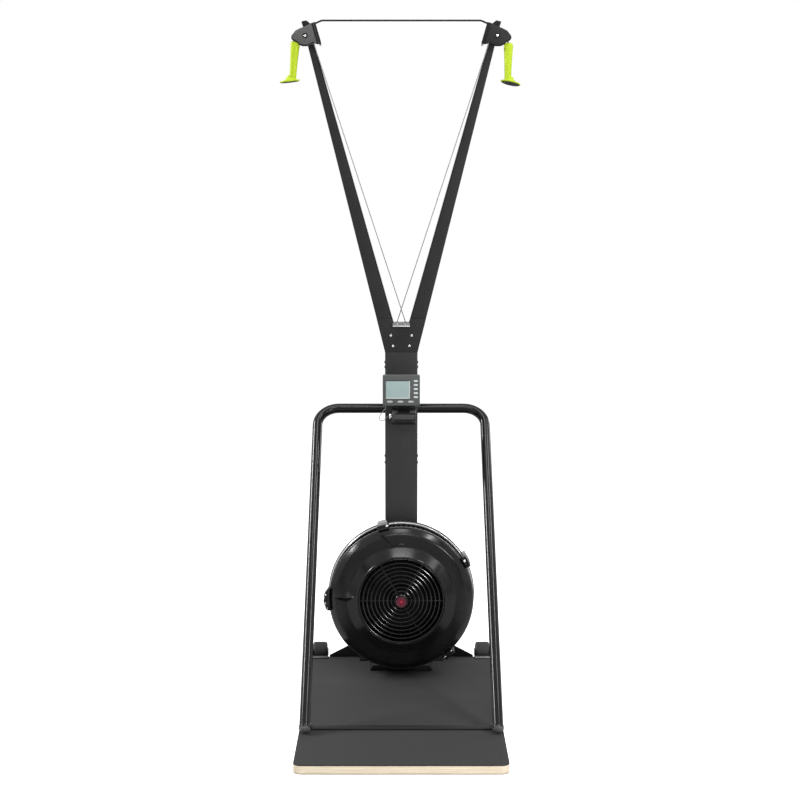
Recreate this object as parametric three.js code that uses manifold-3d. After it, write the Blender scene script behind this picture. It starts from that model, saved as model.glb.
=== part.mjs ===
// A standing ski trainer: a board with a column, two spread arms, two pull handles on cords
// and a fan that the cords turn.
// Millimetres. +Z is up, -Y faces the person who pulls, +X is on that person's right.
// The origin is on the floor under the middle of the whole machine.

import * as THREE from 'three';
import { mergeVertices } from 'three/addons/utils/BufferGeometryUtils.js';
import Module from 'manifold-3d';

const wasm = await Module();
wasm.setup();

// Driving dimensions. Distances run back from the board's front edge, heights up from the floor.

const gap = 0.3; // clearance between pieces that touch
const overrun = 20; // how far a cutting shape runs past what it cuts
const roundSides = 24; // facets of an ordinary round piece
const smallSides = 16; // facets of a small round piece

const board = { width: 600, depth: 1180, thickness: 24, cornerRadius: 25 };
const mat = { thickness: 3 };
const strap = { sideInset: 3, width: 40, thickness: 4, setBack: 56 };

const sideTube = {
  radius: 16, wall: 2, footInset: 18, topInset: 24, bendRadius: 70, sides: 14, bendSteps: 6,
};
const sideTubeFoot = {
  distance: 291, width: 34, padThickness: 5, webThickness: 8, cupWall: 1.2, cupBase: 3, cupLength: 12,
};
const sideTubeBar = { height: 881 };
const clamp = { width: 90, wall: 4, height: 48 };

const column = { width: 106, depth: 80, wall: 3, rearInset: 140, top: 1075.5 };
const columnFoot = { width: 206, topWidth: 188, plateThickness: 6, reach: 46, height: 17.5 };
const gusset = { sideInset: 57, rearInset: 1, thickness: 5, endHeight: 6, height: 105, tongueWidth: 280 };

const head = { plateThickness: 5, tongueLength: 75, tongueInset: 4, rise: 109.5, tenonWall: 6 };
const arm = { top: 2115, topReach: 313, topWidth: 21, topDepth: 42, crotchRise: 6.5, wall: 2.5 };
const armCap = { height: 25, topWidth: 17, lean: 7, shoulder: 4 };
const cordChannel = { halfWidth: 18 };

const housing = { reach: 45, depth: 36, wall: 3, boltInset: 7.7, boltDrop: 26 };
const housingOutlineShares = [
  [-0.70, 0.95], [-1.13, -0.54], [-0.80, -0.54], [-0.57, -0.49], [-0.10, -0.69], [0.25, -0.69],
  [0.46, -0.60], [0.66, -0.42], [0.90, -0.31], [0.98, -0.22], [1.0, -0.12], [0.96, 0.02],
  [0.70, 0.35], [0.36, 0.52], [-0.02, 0.66], [-0.43, 0.88],
];
const housingCavityShares = [
  [-0.40, 0.80], [-0.74, -0.44], [-0.74, -0.95], [0.93, -0.95], [0.93, -0.03],
  [0.66, 0.27], [0.33, 0.44], [-0.04, 0.58],
];
const nosePin = { radius: 6.2, reach: 27.5, drop: 4 };
const sheave = { pitchRadius: 18, flange: 3.5, width: 12, grooveWidth: 5 };
const sheaveBolt = { radius: 4, headRadius: 7, headLength: 4 };
const spreader = { radius: 3, sides: 8, bendSteps: 3, rise: 9, slopeLength: 20, drop: 3 };

const cord = { radius: 1.5, sides: 8, stepDegrees: 15 };
const cordHole = { offset: 14, radius: 3.5, frontDepth: 32, spread: 8 };
const cordGuide = { height: 12, lipWidth: 56, lipThickness: 8.5, rise: 84.5 };

const grip = { length: 122, width: 28, depth: 32, drop: 22.7 };
const gripProfileShares = [
  [0, 0.55, 0.55], [0.02, 0.86, 0.86], [0.06, 1.0, 1.0], [0.2, 0.95, 0.98], [0.4, 0.80, 0.92],
  [0.65, 0.68, 0.84], [0.88, 0.66, 0.80], [0.95, 0.76, 0.86], [1.0, 1.0, 1.0],
];
const gripSides = 14;
const gripFlange = { radius: 33, thickness: 3, coneHeight: 13, neckRadius: 13, offset: 9, tiltDegrees: 11 };

const fan = { axisHeight: 286, depth: 130, radius: 231.5, wall: 3, segments: 48 };
const fanFace = { grilleRadius: 140, bevelRadius: 172, bevelDepth: 16, faceRadius: 214, faceDepth: 20 };
const fanRim = { depth: 50, roundSteps: 4 };
const fanRing = { radius: 239.5, depth: 18, wall: 10.5, backWall: 3.5, boreRadius: 25 };
const cage = { wall: 2.5, frontGap: 6, lap: 11 };
const lugDegrees = [-14, 60, 140];
const lug = { height: 18, halfSpanDegrees: 4.5, front: 33, steps: 2 };
const pointer = { reach: 180, length: 90, width: 34, height: 14 };
const pointerDegrees = [-90, -14];
const damper = { wall: 4, gripHeight: 22, gripHalfSpanDegrees: 9.5, gripFront: 30, gripDepth: 45, steps: 4 };
const damperTab = { width: 30, thickness: 4 };

const grille = {
  ringCount: 8, ringWidth: 5, thickness: 4, spokeWidth: 3, hubRadius: 24, hubRise: 12, segments: 30,
};
const spokeCount = 6;
const badge = { radius: 20, thickness: 3, dome: 1 };

const fanWheel = {
  radius: 198, bladeCount: 24, bladeThickness: 3, bladeInner: 105, depth: 68, discThickness: 4,
};
const fanHub = { radius: 30, rearClearance: 6.3 };
const axle = { radius: 10, frontInset: 40 };
const bearing = { radius: 20, width: 12 };
const bearingBox = { radius: 45, length: 24.4 };
const spool = { pitchRadius: 18, flange: 6, width: 16, grooveWidth: 10 };
const spoolSpacing = { first: 32, second: 56 };

const monitor = { width: 120, height: 98, depth: 34, cornerRadius: 4, edge: 1.5, rise: 42, reach: 90 };
const screen = { width: 78, height: 59, thickness: 1.5, left: -50, bottom: 23, recess: 2.5 };
const keySize = { thickness: 4, proud: 1.5, travelRoom: 1.4 };
const sideKey = { width: 13.5, height: 6, x: 46.5, lowest: 28, pitch: 13, count: 5 };
const lowerKey = { width: 22, height: 8, z: 13, pitch: 34, middle: -3 };
const barrel = { radius: 21, left: -24, right: 41, height: 870, clearance: 7 };
const neck = { left: -14, right: 28, thickness: 22 };
const hingeEar = { thickness: 5.5 };
const hingePin = { radius: 6, headRadius: 9, headLength: 9 };
const monitorPlate = { thickness: 5, height: 60 };
const signalCable = { radius: 1, sides: 8, side: -50, inset: 16 };

const wheel = { radius: 34, width: 48, floorGap: 0.5, tyre: 3, sides: 24 };
const wheelBracket = { thickness: 3, topReach: 30, sideGap: 0.5, overhang: 3.5, earHeight: 26, plateBottom: 2 };
const wheelAxle = { radius: 5 };

// Places that follow from the sizes.

const deckTop = board.thickness + gap + mat.thickness + gap;
const strapTop = deckTop + strap.thickness;
const strapDistance = sideTubeFoot.distance + strap.setBack;
const columnDistance = board.depth - column.rearInset;
const columnBack = columnDistance + column.depth;
const barDistance = columnBack + gap + clamp.wall + gap + sideTube.radius;
const columnBottom = deckTop + columnFoot.plateThickness + gap;
const plateFront = columnDistance + column.wall + gap;
const armFront = plateFront + head.plateThickness + gap;
const plateBack = columnBack - column.wall - gap;
const armBack = plateBack - head.plateThickness - gap;
const headBottom = column.top + gap;
const headTop = column.top + head.rise;
const crotchHeight = column.top + arm.crotchRise;
const guideSeat = column.top + cordGuide.rise;
const boltReach = arm.topReach - housing.boltInset;
const boltHeight = arm.top - housing.boltDrop;
const monitorBottom = barrel.height + monitor.rise;
const housingBack = armFront - gap;
const housingFront = housingBack - housing.depth;
const sheaveDistance = (housingFront + housingBack) / 2;
const fanFront = columnDistance - gap - bearingBox.length - gap - fan.depth;
const wheelDistance = board.depth + gap + wheelBracket.thickness + wheelBracket.sideGap + wheel.radius;
const totalDepth = wheelDistance + wheel.radius;

// The arm's two slanting edges, as seen from the front.
function outerEdge(z) {
  const start = column.width / 2;
  return start + (arm.topReach - start) * (z - headBottom) / (arm.top - headBottom);
}
function innerEdge(z) {
  const slanted = (arm.topReach - arm.topWidth) * (z - crotchHeight) / (arm.top - crotchHeight);
  return Math.max(slanted, cordChannel.halfWidth);
}

// Shape helpers.

// Turns a closed mesh the right way out and drops what is not its shape.
function closed(geometry) {
  const bare = geometry.clone();
  bare.deleteAttribute('normal');
  bare.deleteAttribute('uv');
  const merged = mergeVertices(bare);
  const place = merged.getAttribute('position');
  const index = merged.getIndex().array;
  const [a, b, c] = [new THREE.Vector3(), new THREE.Vector3(), new THREE.Vector3()];
  let volume = 0;
  for (let i = 0; i < index.length; i += 3) {
    a.fromBufferAttribute(place, index[i]);
    b.fromBufferAttribute(place, index[i + 1]);
    c.fromBufferAttribute(place, index[i + 2]);
    volume += a.dot(b.cross(c));
  }
  if (volume < 0) {
    for (let i = 0; i < index.length; i += 3) {
      [index[i], index[i + 1]] = [index[i + 1], index[i]];
    }
  }
  return merged;
}

function toSolid(geometry) {
  const skin = closed(geometry);
  return new wasm.Manifold(new wasm.Mesh({
    numProp: 3,
    vertProperties: new Float32Array(skin.getAttribute('position').array),
    triVerts: new Uint32Array(skin.getIndex().array),
  }));
}

function toGeometry(solid) {
  const mesh = solid.getMesh();
  const geometry = new THREE.BufferGeometry();
  geometry.setAttribute('position', new THREE.BufferAttribute(mesh.vertProperties, 3));
  geometry.setIndex(new THREE.BufferAttribute(mesh.triVerts, 1));
  return geometry;
}

function join(...geometries) {
  return toGeometry(geometries.map(toSolid).reduce((whole, next) => whole.add(next)));
}

function cut(geometry, ...tools) {
  return toGeometry(tools.map(toSolid).reduce((whole, next) => whole.subtract(next), toSolid(geometry)));
}

function mirrored(geometry) {
  return closed(geometry.clone().scale(-1, 1, 1));
}

// A block between two opposite corners.
function block(x0, x1, y0, y1, z0, z1) {
  const geometry = new THREE.BoxGeometry(x1 - x0, y1 - y0, z1 - z0);
  return geometry.translate((x0 + x1) / 2, (y0 + y1) / 2, (z0 + z1) / 2);
}

// A flat outline in X and Z, given its depth along +Y from y0.
function slab(shape, y0, depth) {
  const geometry = new THREE.ExtrudeGeometry(shape, { depth, bevelEnabled: false, steps: 1 });
  return geometry.rotateX(Math.PI / 2).translate(0, y0 + depth, 0);
}

function outline(points) {
  return new THREE.Shape(points.map(([x, z]) => new THREE.Vector2(x, z)));
}

// A round body about an axis along Y, from its radius at each distance along the axis.
function turned(profile, segments = roundSides) {
  return new THREE.LatheGeometry(profile.map(([r, y]) => new THREE.Vector2(r, y)), segments);
}

function turnedAlongX(profile, segments) {
  return turned(profile, segments).rotateZ(-Math.PI / 2);
}

// A plain round bar between two points.
function bar(from, to, radius, sides = roundSides) {
  const direction = to.clone().sub(from);
  const geometry = new THREE.CylinderGeometry(radius, radius, direction.length(), sides);
  const turn = new THREE.Quaternion().setFromUnitVectors(new THREE.Vector3(0, 1, 0), direction.normalize());
  const middle = from.clone().add(to).multiplyScalar(0.5);
  return geometry.applyQuaternion(turn).translate(middle.x, middle.y, middle.z);
}

function spanX(x0, x1, y, z, radius, sides) {
  return bar(new THREE.Vector3(x0, y, z), new THREE.Vector3(x1, y, z), radius, sides);
}
function spanY(y0, y1, x, z, radius, sides) {
  return bar(new THREE.Vector3(x, y0, z), new THREE.Vector3(x, y1, z), radius, sides);
}
function spanZ(z0, z1, x, y, radius, sides) {
  return bar(new THREE.Vector3(x, y, z0), new THREE.Vector3(x, y, z1), radius, sides);
}

// A path for a tube, with one ring of the tube at each of its points.
class Route extends THREE.Curve {
  constructor(points) {
    super();
    this.points = points;
  }

  getPoint(share, target = new THREE.Vector3()) {
    const place = share * (this.points.length - 1);
    const index = Math.min(Math.floor(place), this.points.length - 2);
    return target.lerpVectors(this.points[index], this.points[index + 1], place - index);
  }

  getPointAt(share, target) {
    return this.getPoint(share, target);
  }

  getTangentAt(share, target = new THREE.Vector3()) {
    const last = this.points.length - 1;
    const index = Math.round(share * last);
    const here = this.points[index];
    target.set(0, 0, 0);
    if (index > 0) {
      target.add(here.clone().sub(this.points[index - 1]).normalize());
    }
    if (index < last) {
      target.add(this.points[index + 1].clone().sub(here).normalize());
    }
    return target.normalize();
  }
}

function ringShape(radius, sides) {
  const shape = new THREE.Shape();
  for (let i = 0; i < sides; i++) {
    const angle = i * 2 * Math.PI / sides;
    const [x, y] = [radius * Math.cos(angle), radius * Math.sin(angle)];
    if (i === 0) {
      shape.moveTo(x, y);
    } else {
      shape.lineTo(x, y);
    }
  }
  return shape;
}

function tube(points, radius, sides, wall = 0) {
  const shape = ringShape(radius, sides);
  if (wall > 0) {
    shape.holes.push(ringShape(radius - wall, sides));
  }
  return new THREE.ExtrudeGeometry(shape, {
    steps: points.length - 1,
    bevelEnabled: false,
    extrudePath: new Route(points),
  });
}

// Rounds the corners of a bent path with arcs of one radius.
function roundedPath(corners, radius, steps) {
  const path = [corners[0].clone()];
  for (let i = 1; i < corners.length - 1; i++) {
    const back = corners[i - 1].clone().sub(corners[i]).normalize();
    const ahead = corners[i + 1].clone().sub(corners[i]).normalize();
    const halfAngle = back.angleTo(ahead) / 2;
    const bisector = back.clone().add(ahead).normalize();
    const centre = corners[i].clone().addScaledVector(bisector, radius / Math.sin(halfAngle));
    const reach = radius / Math.tan(halfAngle);
    const from = corners[i].clone().addScaledVector(back, reach).sub(centre);
    const to = corners[i].clone().addScaledVector(ahead, reach).sub(centre);
    const turn = Math.PI - 2 * halfAngle;
    for (let step = 0; step <= steps; step++) {
      const swept = turn * step / steps;
      const point = centre.clone();
      point.addScaledVector(from, Math.sin(turn - swept) / Math.sin(turn));
      point.addScaledVector(to, Math.sin(swept) / Math.sin(turn));
      path.push(point);
    }
  }
  path.push(corners[corners.length - 1].clone());
  return path;
}

// Joins a stack of outlines with the same number of points into one closed skin.
function loft(rings) {
  const sides = rings[0].length;
  const positions = rings.flat().flatMap((point) => [point.x, point.y, point.z]);
  const indices = [];
  for (let ring = 0; ring < rings.length - 1; ring++) {
    for (let side = 0; side < sides; side++) {
      const a = ring * sides + side;
      const b = ring * sides + (side + 1) % sides;
      indices.push(a, b, b + sides, a, b + sides, a + sides);
    }
  }
  const lastRing = (rings.length - 1) * sides;
  for (let side = 1; side < sides - 1; side++) {
    indices.push(0, side + 1, side, lastRing, lastRing + side, lastRing + side + 1);
  }
  const geometry = new THREE.BufferGeometry();
  geometry.setAttribute('position', new THREE.Float32BufferAttribute(positions, 3));
  geometry.setIndex(indices);
  return closed(geometry);
}

// A ring sector about the Y axis; angles run clockwise from the top as seen from the front.
function sector(inner, outer, y0, y1, middleDegrees, halfSpanDegrees, steps) {
  const points = [];
  for (let i = 0; i <= steps; i++) {
    const angle = THREE.MathUtils.degToRad(middleDegrees - halfSpanDegrees + 2 * halfSpanDegrees * i / steps);
    points.push([angle, inner, outer]);
  }
  const rim = points.map(([angle, , r]) => [r * Math.sin(angle), r * Math.cos(angle)]);
  const root = points.map(([angle, r]) => [r * Math.sin(angle), r * Math.cos(angle)]).reverse();
  return slab(outline([...rim, ...root]), y0, y1 - y0);
}

// Finishes.

function finish(color, roughness, metalness) {
  return new THREE.MeshStandardMaterial({ color, roughness, metalness });
}

const finishes = {
  plywood: finish('#ecdfca', 0.7, 0),
  matRubber: finish('#474747', 0.9, 0),
  blackPaint: finish('#333333', 0.45, 0.4),
  glossTube: finish('#1e1e1e', 0.2, 0.5),
  armPaint: finish('#3b3b3b', 0.45, 0.4),
  blackPlastic: finish('#1c1c1c', 0.4, 0),
  housingPlastic: finish('#4a4a4a', 0.5, 0),
  greyPlastic: finish('#858585', 0.5, 0),
  limeGrip: finish('#c8e04a', 0.6, 0),
  cordGrey: finish('#b5b5b5', 0.7, 0),
  steel: finish('#c9c9c9', 0.25, 1),
  redBadge: finish('#b5163a', 0.4, 0),
  monitorShell: finish('#565857', 0.5, 0),
  screenGlass: finish('#9eb1b0', 0.2, 0),
  keyGrey: finish('#c4c6c6', 0.5, 0),
  wheelRubber: finish('#444444', 0.7, 0),
};

const machine = new THREE.Group();
const assembly = new THREE.Group();
assembly.position.y = -totalDepth / 2;
machine.add(assembly);

function add(parent, name, geometry, material) {
  const mesh = new THREE.Mesh(closed(geometry), material);
  mesh.name = name;
  parent.add(mesh);
  return mesh;
}

function group(parent, x, y, z) {
  const made = new THREE.Group();
  made.position.set(x, y, z);
  parent.add(made);
  return made;
}

// Platform: a plywood board under a rubber mat, with a flat strap that carries the side tube's feet.

function deckShape() {
  const half = board.width / 2;
  const r = board.cornerRadius;
  const shape = new THREE.Shape();
  shape.moveTo(-half + r, 0);
  shape.lineTo(half - r, 0);
  shape.absarc(half - r, r, r, -Math.PI / 2, 0, false);
  shape.lineTo(half, board.depth);
  shape.lineTo(-half, board.depth);
  shape.absarc(-half + r, r, r, Math.PI, 1.5 * Math.PI, false);
  return shape;
}

function deckSheet(bottom, thickness) {
  const geometry = new THREE.ExtrudeGeometry(deckShape(), {
    depth: thickness, bevelEnabled: false, curveSegments: 6,
  });
  return geometry.translate(0, 0, bottom);
}

function buildPlatform() {
  add(assembly, 'platform_board', deckSheet(0, board.thickness), finishes.plywood);
  add(assembly, 'platform_mat', deckSheet(board.thickness + gap, mat.thickness), finishes.matRubber);
  const [half, y] = [board.width / 2 - strap.sideInset, strapDistance];
  const flat = block(-half, half, y - strap.width / 2, y + strap.width / 2, deckTop, strapTop);
  add(assembly, 'cross_strap', flat, finishes.blackPaint);
}

// Side tube: one bent tube that leans back from two feet to a clamp behind the column.

function buildSideTube() {
  // The cup on the tube's end rests on the mat, square to the tube.
  const cupRadius = sideTube.radius + gap + sideTubeFoot.cupWall;
  const corner = new THREE.Vector3(board.width / 2 - sideTube.topInset, barDistance, sideTubeBar.height);
  const lean = Math.atan2(corner.y - sideTubeFoot.distance, corner.z - deckTop);
  const foot = new THREE.Vector3(
    board.width / 2 - sideTube.footInset, sideTubeFoot.distance, deckTop + cupRadius * Math.sin(lean),
  );
  const along = corner.clone().sub(foot).normalize();
  const up = (distance) => foot.clone().addScaledVector(along, distance);
  const start = up(sideTubeFoot.cupBase + gap);
  const flip = (point) => new THREE.Vector3(-point.x, point.y, point.z);
  const corners = [start, corner, flip(corner), flip(start)];
  const path = roundedPath(corners, sideTube.bendRadius, sideTube.bendSteps);
  add(assembly, 'side_frame', tube(path, sideTube.radius, sideTube.sides, sideTube.wall), finishes.glossTube);

  // Behind the cup a web stands under the tube, on a pad on the strap.
  const [strapFront, strapRear] = [strapDistance - strap.width / 2, strapDistance + strap.width / 2];
  const padBottom = strapTop + gap;
  const axisHeight = (y) => foot.z + (y - foot.y) * along.z / along.y;
  const pad = block(
    foot.x - sideTubeFoot.width / 2, foot.x + sideTubeFoot.width / 2,
    strapFront, strapRear, padBottom, padBottom + sideTubeFoot.padThickness,
  );
  const webFront = foot.y + cupRadius / 2;
  const side = [
    [webFront, padBottom], [strapRear, padBottom], [strapRear, axisHeight(strapRear)],
    [webFront, axisHeight(webFront)],
  ];
  const web = loft([-1, 1].map((half) => side.map(([y, z]) => (
    new THREE.Vector3(foot.x + half * sideTubeFoot.webThickness / 2, y, z)
  ))));
  const cup = bar(foot, up(sideTubeFoot.cupLength), cupRadius, roundSides);
  const boreEnd = up((strapRear - foot.y) / along.y + overrun);
  const bore = bar(up(sideTubeFoot.cupBase), boreEnd, sideTube.radius + gap, roundSides);
  const shoe = cut(join(pad, web, cup), bore);
  add(assembly, 'frame_foot_right', shoe, finishes.glossTube);
  add(assembly, 'frame_foot_left', mirrored(shoe), finishes.glossTube);

  const clampBack = barDistance + sideTube.radius + gap + clamp.wall;
  const jaw = block(
    -clamp.width / 2, clamp.width / 2, columnBack + gap, clampBack,
    corner.z - clamp.height / 2, corner.z + clamp.height / 2,
  );
  const run = clamp.width / 2 + overrun;
  const passage = spanX(-run, run, barDistance, corner.z, sideTube.radius + gap, roundSides);
  add(assembly, 'frame_clamp', cut(jaw, passage), finishes.blackPaint);
}

// Column: a hollow upright on a base plate, braced by a cross gusset behind it.

function buildColumn() {
  const half = column.width / 2;
  const shaft = cut(
    block(-half, half, columnDistance, columnBack, columnBottom, column.top),
    block(
      -half + column.wall, half - column.wall, columnDistance + column.wall, columnBack - column.wall,
      columnBottom - overrun, column.top + overrun,
    ),
    spanY(columnDistance - overrun, columnDistance + column.wall + overrun, 0, fan.axisHeight,
      axle.radius + column.wall, smallSides),
  );
  add(assembly, 'column', shaft, finishes.blackPaint);

  const [wide, narrow] = [columnFoot.width / 2, columnFoot.topWidth / 2];
  const plateTop = deckTop + columnFoot.plateThickness;
  const noseTop = deckTop + columnFoot.height;
  const plate = block(-wide, wide, columnDistance - columnFoot.reach, columnBack - gap, deckTop, plateTop);
  const nose = slab(
    outline([[-wide, deckTop], [wide, deckTop], [narrow, noseTop], [-narrow, noseTop]]),
    columnDistance - columnFoot.reach, columnFoot.reach - gap,
  );
  add(assembly, 'column_foot', join(plate, nose), finishes.blackPlastic);

  // The gusset's web stands at the board's rear edge; its tongue runs forward to the column.
  const reach = board.width / 2 - gusset.sideInset;
  const webBack = board.depth - gusset.rearInset;
  const web = slab(
    outline([
      [-reach, deckTop], [reach, deckTop], [reach, deckTop + gusset.endHeight],
      [half, deckTop + gusset.height], [-half, deckTop + gusset.height], [-reach, deckTop + gusset.endHeight],
    ]),
    webBack - gusset.thickness, gusset.thickness,
  );
  const tongue = block(
    -gusset.tongueWidth / 2, gusset.tongueWidth / 2, columnBack + gap, webBack,
    deckTop, deckTop + gusset.thickness,
  );
  const ribs = [-1, 1].map((side) => {
    const outerFace = side * half;
    const innerFace = side * (half - gusset.thickness);
    return loft([outerFace, innerFace].map((x) => [
      new THREE.Vector3(x, columnBack + gap, deckTop), new THREE.Vector3(x, webBack, deckTop),
      new THREE.Vector3(x, webBack, deckTop + gusset.height),
      new THREE.Vector3(x, columnBack + gap, deckTop + gusset.height),
    ]));
  });
  add(assembly, 'rear_gusset', join(web, tongue, ...ribs), finishes.blackPaint);
}

// Head: two plates that hold the arms' lower ends, on a hollow block that sits in the column.

function headOutline() {
  const tongueHalf = column.width / 2 - column.wall - head.tongueInset;
  const tongueBottom = column.top - head.tongueLength;
  const crotch = guideSeat - gap;
  const right = [
    [tongueHalf, tongueBottom], [tongueHalf, headBottom], [outerEdge(headBottom), headBottom],
    [outerEdge(headTop), headTop], [innerEdge(headTop), headTop], [innerEdge(crotch), crotch],
  ];
  const left = right.map(([x, z]) => [-x, z]).reverse();
  return outline([...right, ...left]);
}

function buildHead() {
  add(assembly, 'head_plate_front', slab(headOutline(), plateFront, head.plateThickness), finishes.armPaint);

  const tenonHalf = column.width / 2 - column.wall - gap;
  const tenonBottom = column.top - head.tongueLength;
  const tenon = cut(
    block(-tenonHalf, tenonHalf, armFront, plateBack, tenonBottom, column.top),
    block(
      -tenonHalf + head.tenonWall, tenonHalf - head.tenonWall, armFront + head.tenonWall,
      plateBack - head.tenonWall, tenonBottom - overrun, column.top + overrun,
    ),
  );
  const rearPlate = slab(headOutline(), plateBack - head.plateThickness, head.plateThickness);
  add(assembly, 'head_bracket', join(tenon, rearPlate), finishes.armPaint);

  const top = guideSeat + cordGuide.height;
  const halfAt = (z) => innerEdge(z) - gap;
  const plug = slab(
    outline([
      [-halfAt(guideSeat), guideSeat], [halfAt(guideSeat), guideSeat],
      [halfAt(top), top], [-halfAt(top), top],
    ]),
    plateFront - gap - cordGuide.lipThickness / 2, armBack - plateFront,
  );
  const lip = block(
    -cordGuide.lipWidth / 2, cordGuide.lipWidth / 2,
    plateFront - gap - cordGuide.lipThickness, plateFront - gap, guideSeat, top,
  );
  const drills = [-1, 1].map((side) => spanZ(
    guideSeat - overrun, top + overrun, -side * cordHole.offset, holeDistance(side),
    cordHole.radius, smallSides,
  ));
  add(assembly, 'cord_guide', cut(join(plug, lip), ...drills), finishes.greyPlastic);
}

// Each cord crosses to the far hole, and the left handle's cord passes in front of the right one's.
function holeDistance(side) {
  return columnDistance + cordHole.frontDepth + (side > 0 ? cordHole.spread : 0);
}

// Arms: tapered hollow beams, each closed by a black cap.

function armSection(z, inset, back) {
  const [inner, outer] = [innerEdge(z) + inset, outerEdge(z) - inset];
  const [front, rear] = [armFront + inset, back - inset];
  const corners = [[inner, front], [outer, front], [outer, rear], [inner, rear]];
  return corners.map(([x, y]) => new THREE.Vector3(x, y, z));
}

function buildArms() {
  const channelEnd = crotchHeight
    + cordChannel.halfWidth * (arm.top - crotchHeight) / (arm.topReach - arm.topWidth);
  const topBack = armFront + arm.topDepth;
  const levels = [[headBottom, armBack], [channelEnd, armBack], [headTop, armBack], [arm.top, topBack]];
  const outside = loft(levels.map(([z, back]) => armSection(z, 0, back)));
  const rings = levels.map(([z, back]) => armSection(z, arm.wall, back));
  rings[0].forEach((point) => { point.z -= overrun; });
  rings[rings.length - 1].forEach((point) => { point.z += overrun; });
  const beam = cut(outside, loft(rings));
  add(assembly, 'arm_right', beam, finishes.armPaint);
  add(assembly, 'arm_left', mirrored(beam), finishes.armPaint);

  const base = arm.top + gap;
  const crown = base + armCap.height;
  const [inner, outer] = [innerEdge(arm.top), outerEdge(arm.top)];
  const cap = slab(
    outline([
      [inner, base], [outer, base], [outer + armCap.lean, crown],
      [outer + armCap.lean - armCap.topWidth, crown],
      [inner - armCap.shoulder, base + armCap.height / 2],
    ]),
    armFront, arm.topDepth,
  );
  add(assembly, 'arm_cap_right', cap, finishes.blackPlastic);
  add(assembly, 'arm_cap_left', mirrored(cap), finishes.blackPlastic);
}

// Top pulleys: a sheave on a bolt between the cheeks of a teardrop housing in front of each arm.

function buildTopPulleys() {
  const scaled = (shares) => outline(shares.map(([u, w]) => [
    boltReach + u * housing.reach, boltHeight + w * housing.reach,
  ]));
  const shell = slab(scaled(housingOutlineShares), housingFront, housing.depth);
  const inside = scaled(housingCavityShares);
  const cavity = slab(inside, housingFront + housing.wall, housing.depth - 2 * housing.wall);
  const nose = spanY(
    housingFront + housing.wall / 2, housingBack - housing.wall / 2,
    boltReach + nosePin.reach, boltHeight - nosePin.drop, nosePin.radius, smallSides,
  );
  const boltHole = spanY(
    housingFront - overrun, housingBack + overrun, boltReach, boltHeight,
    sheaveBolt.radius + gap, smallSides,
  );
  const body = cut(join(cut(shell, cavity), nose), boltHole);
  add(assembly, 'pulley_housing_right', body, finishes.housingPlastic);
  add(assembly, 'pulley_housing_left', mirrored(body), finishes.housingPlastic);

  const groove = sheave.pitchRadius - cord.radius - gap;
  const rim = sheave.pitchRadius + sheave.flange;
  const bore = sheaveBolt.radius + gap;
  const [edge, lipEdge] = [sheave.width / 2, sheave.grooveWidth / 2];
  const profile = [
    [bore, -edge], [rim, -edge], [rim, -lipEdge - sheave.flange / 2], [groove, -lipEdge], [groove, lipEdge],
    [rim, lipEdge + sheave.flange / 2], [rim, edge], [bore, edge], [bore, -edge],
  ];
  for (const [side, name] of [[1, 'right'], [-1, 'left']]) {
    const place = group(assembly, side * boltReach, sheaveDistance, boltHeight);
    add(place, `top_pulley_${name}`, turned(profile), finishes.blackPlastic);
    const front = housingFront - sheaveDistance;
    const bolt = join(
      spanY(front - gap, housingBack - sheaveDistance, 0, 0, sheaveBolt.radius, smallSides),
      spanY(front - gap - sheaveBolt.headLength, front - gap, 0, 0, sheaveBolt.headRadius, smallSides),
    );
    add(place, `pulley_bolt_${name}`, bolt, finishes.steel);
  }

  // The rod's ends rest against the inner edges of the two housings, just under their tops.
  const [stripTop, stripFoot] = housingOutlineShares;
  const slant = (stripTop[0] - stripFoot[0]) / (stripTop[1] - stripFoot[1]);
  const low = boltHeight + stripTop[1] * housing.reach - spreader.drop;
  const high = low + spreader.rise;
  const end = boltReach + stripTop[0] * housing.reach - slant * spreader.drop - 2 * gap;
  const bend = end - spreader.slopeLength;
  const points = [[end, low], [bend, high], [-bend, high], [-end, low]].map(([x, z]) => (
    new THREE.Vector3(x, sheaveDistance, z)
  ));
  const route = roundedPath(points, spreader.slopeLength, spreader.bendSteps);
  add(assembly, 'spreader_rod', tube(route, spreader.radius, spreader.sides), finishes.glossTube);
}

// Drive cords: from above the handle over the nose pin and the sheave, down between the arms
// and through the hollow column to the spool on the fan's axle.

function arcPoints(centreX, centreZ, radius, fromAngle, toAngle, y) {
  const points = [];
  const steps = Math.ceil(Math.abs(toAngle - fromAngle) / THREE.MathUtils.degToRad(cord.stepDegrees));
  for (let i = 0; i <= steps; i++) {
    const angle = fromAngle + (toAngle - fromAngle) * i / steps;
    points.push(new THREE.Vector3(centreX + radius * Math.cos(angle), y, centreZ + radius * Math.sin(angle)));
  }
  return points;
}

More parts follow.
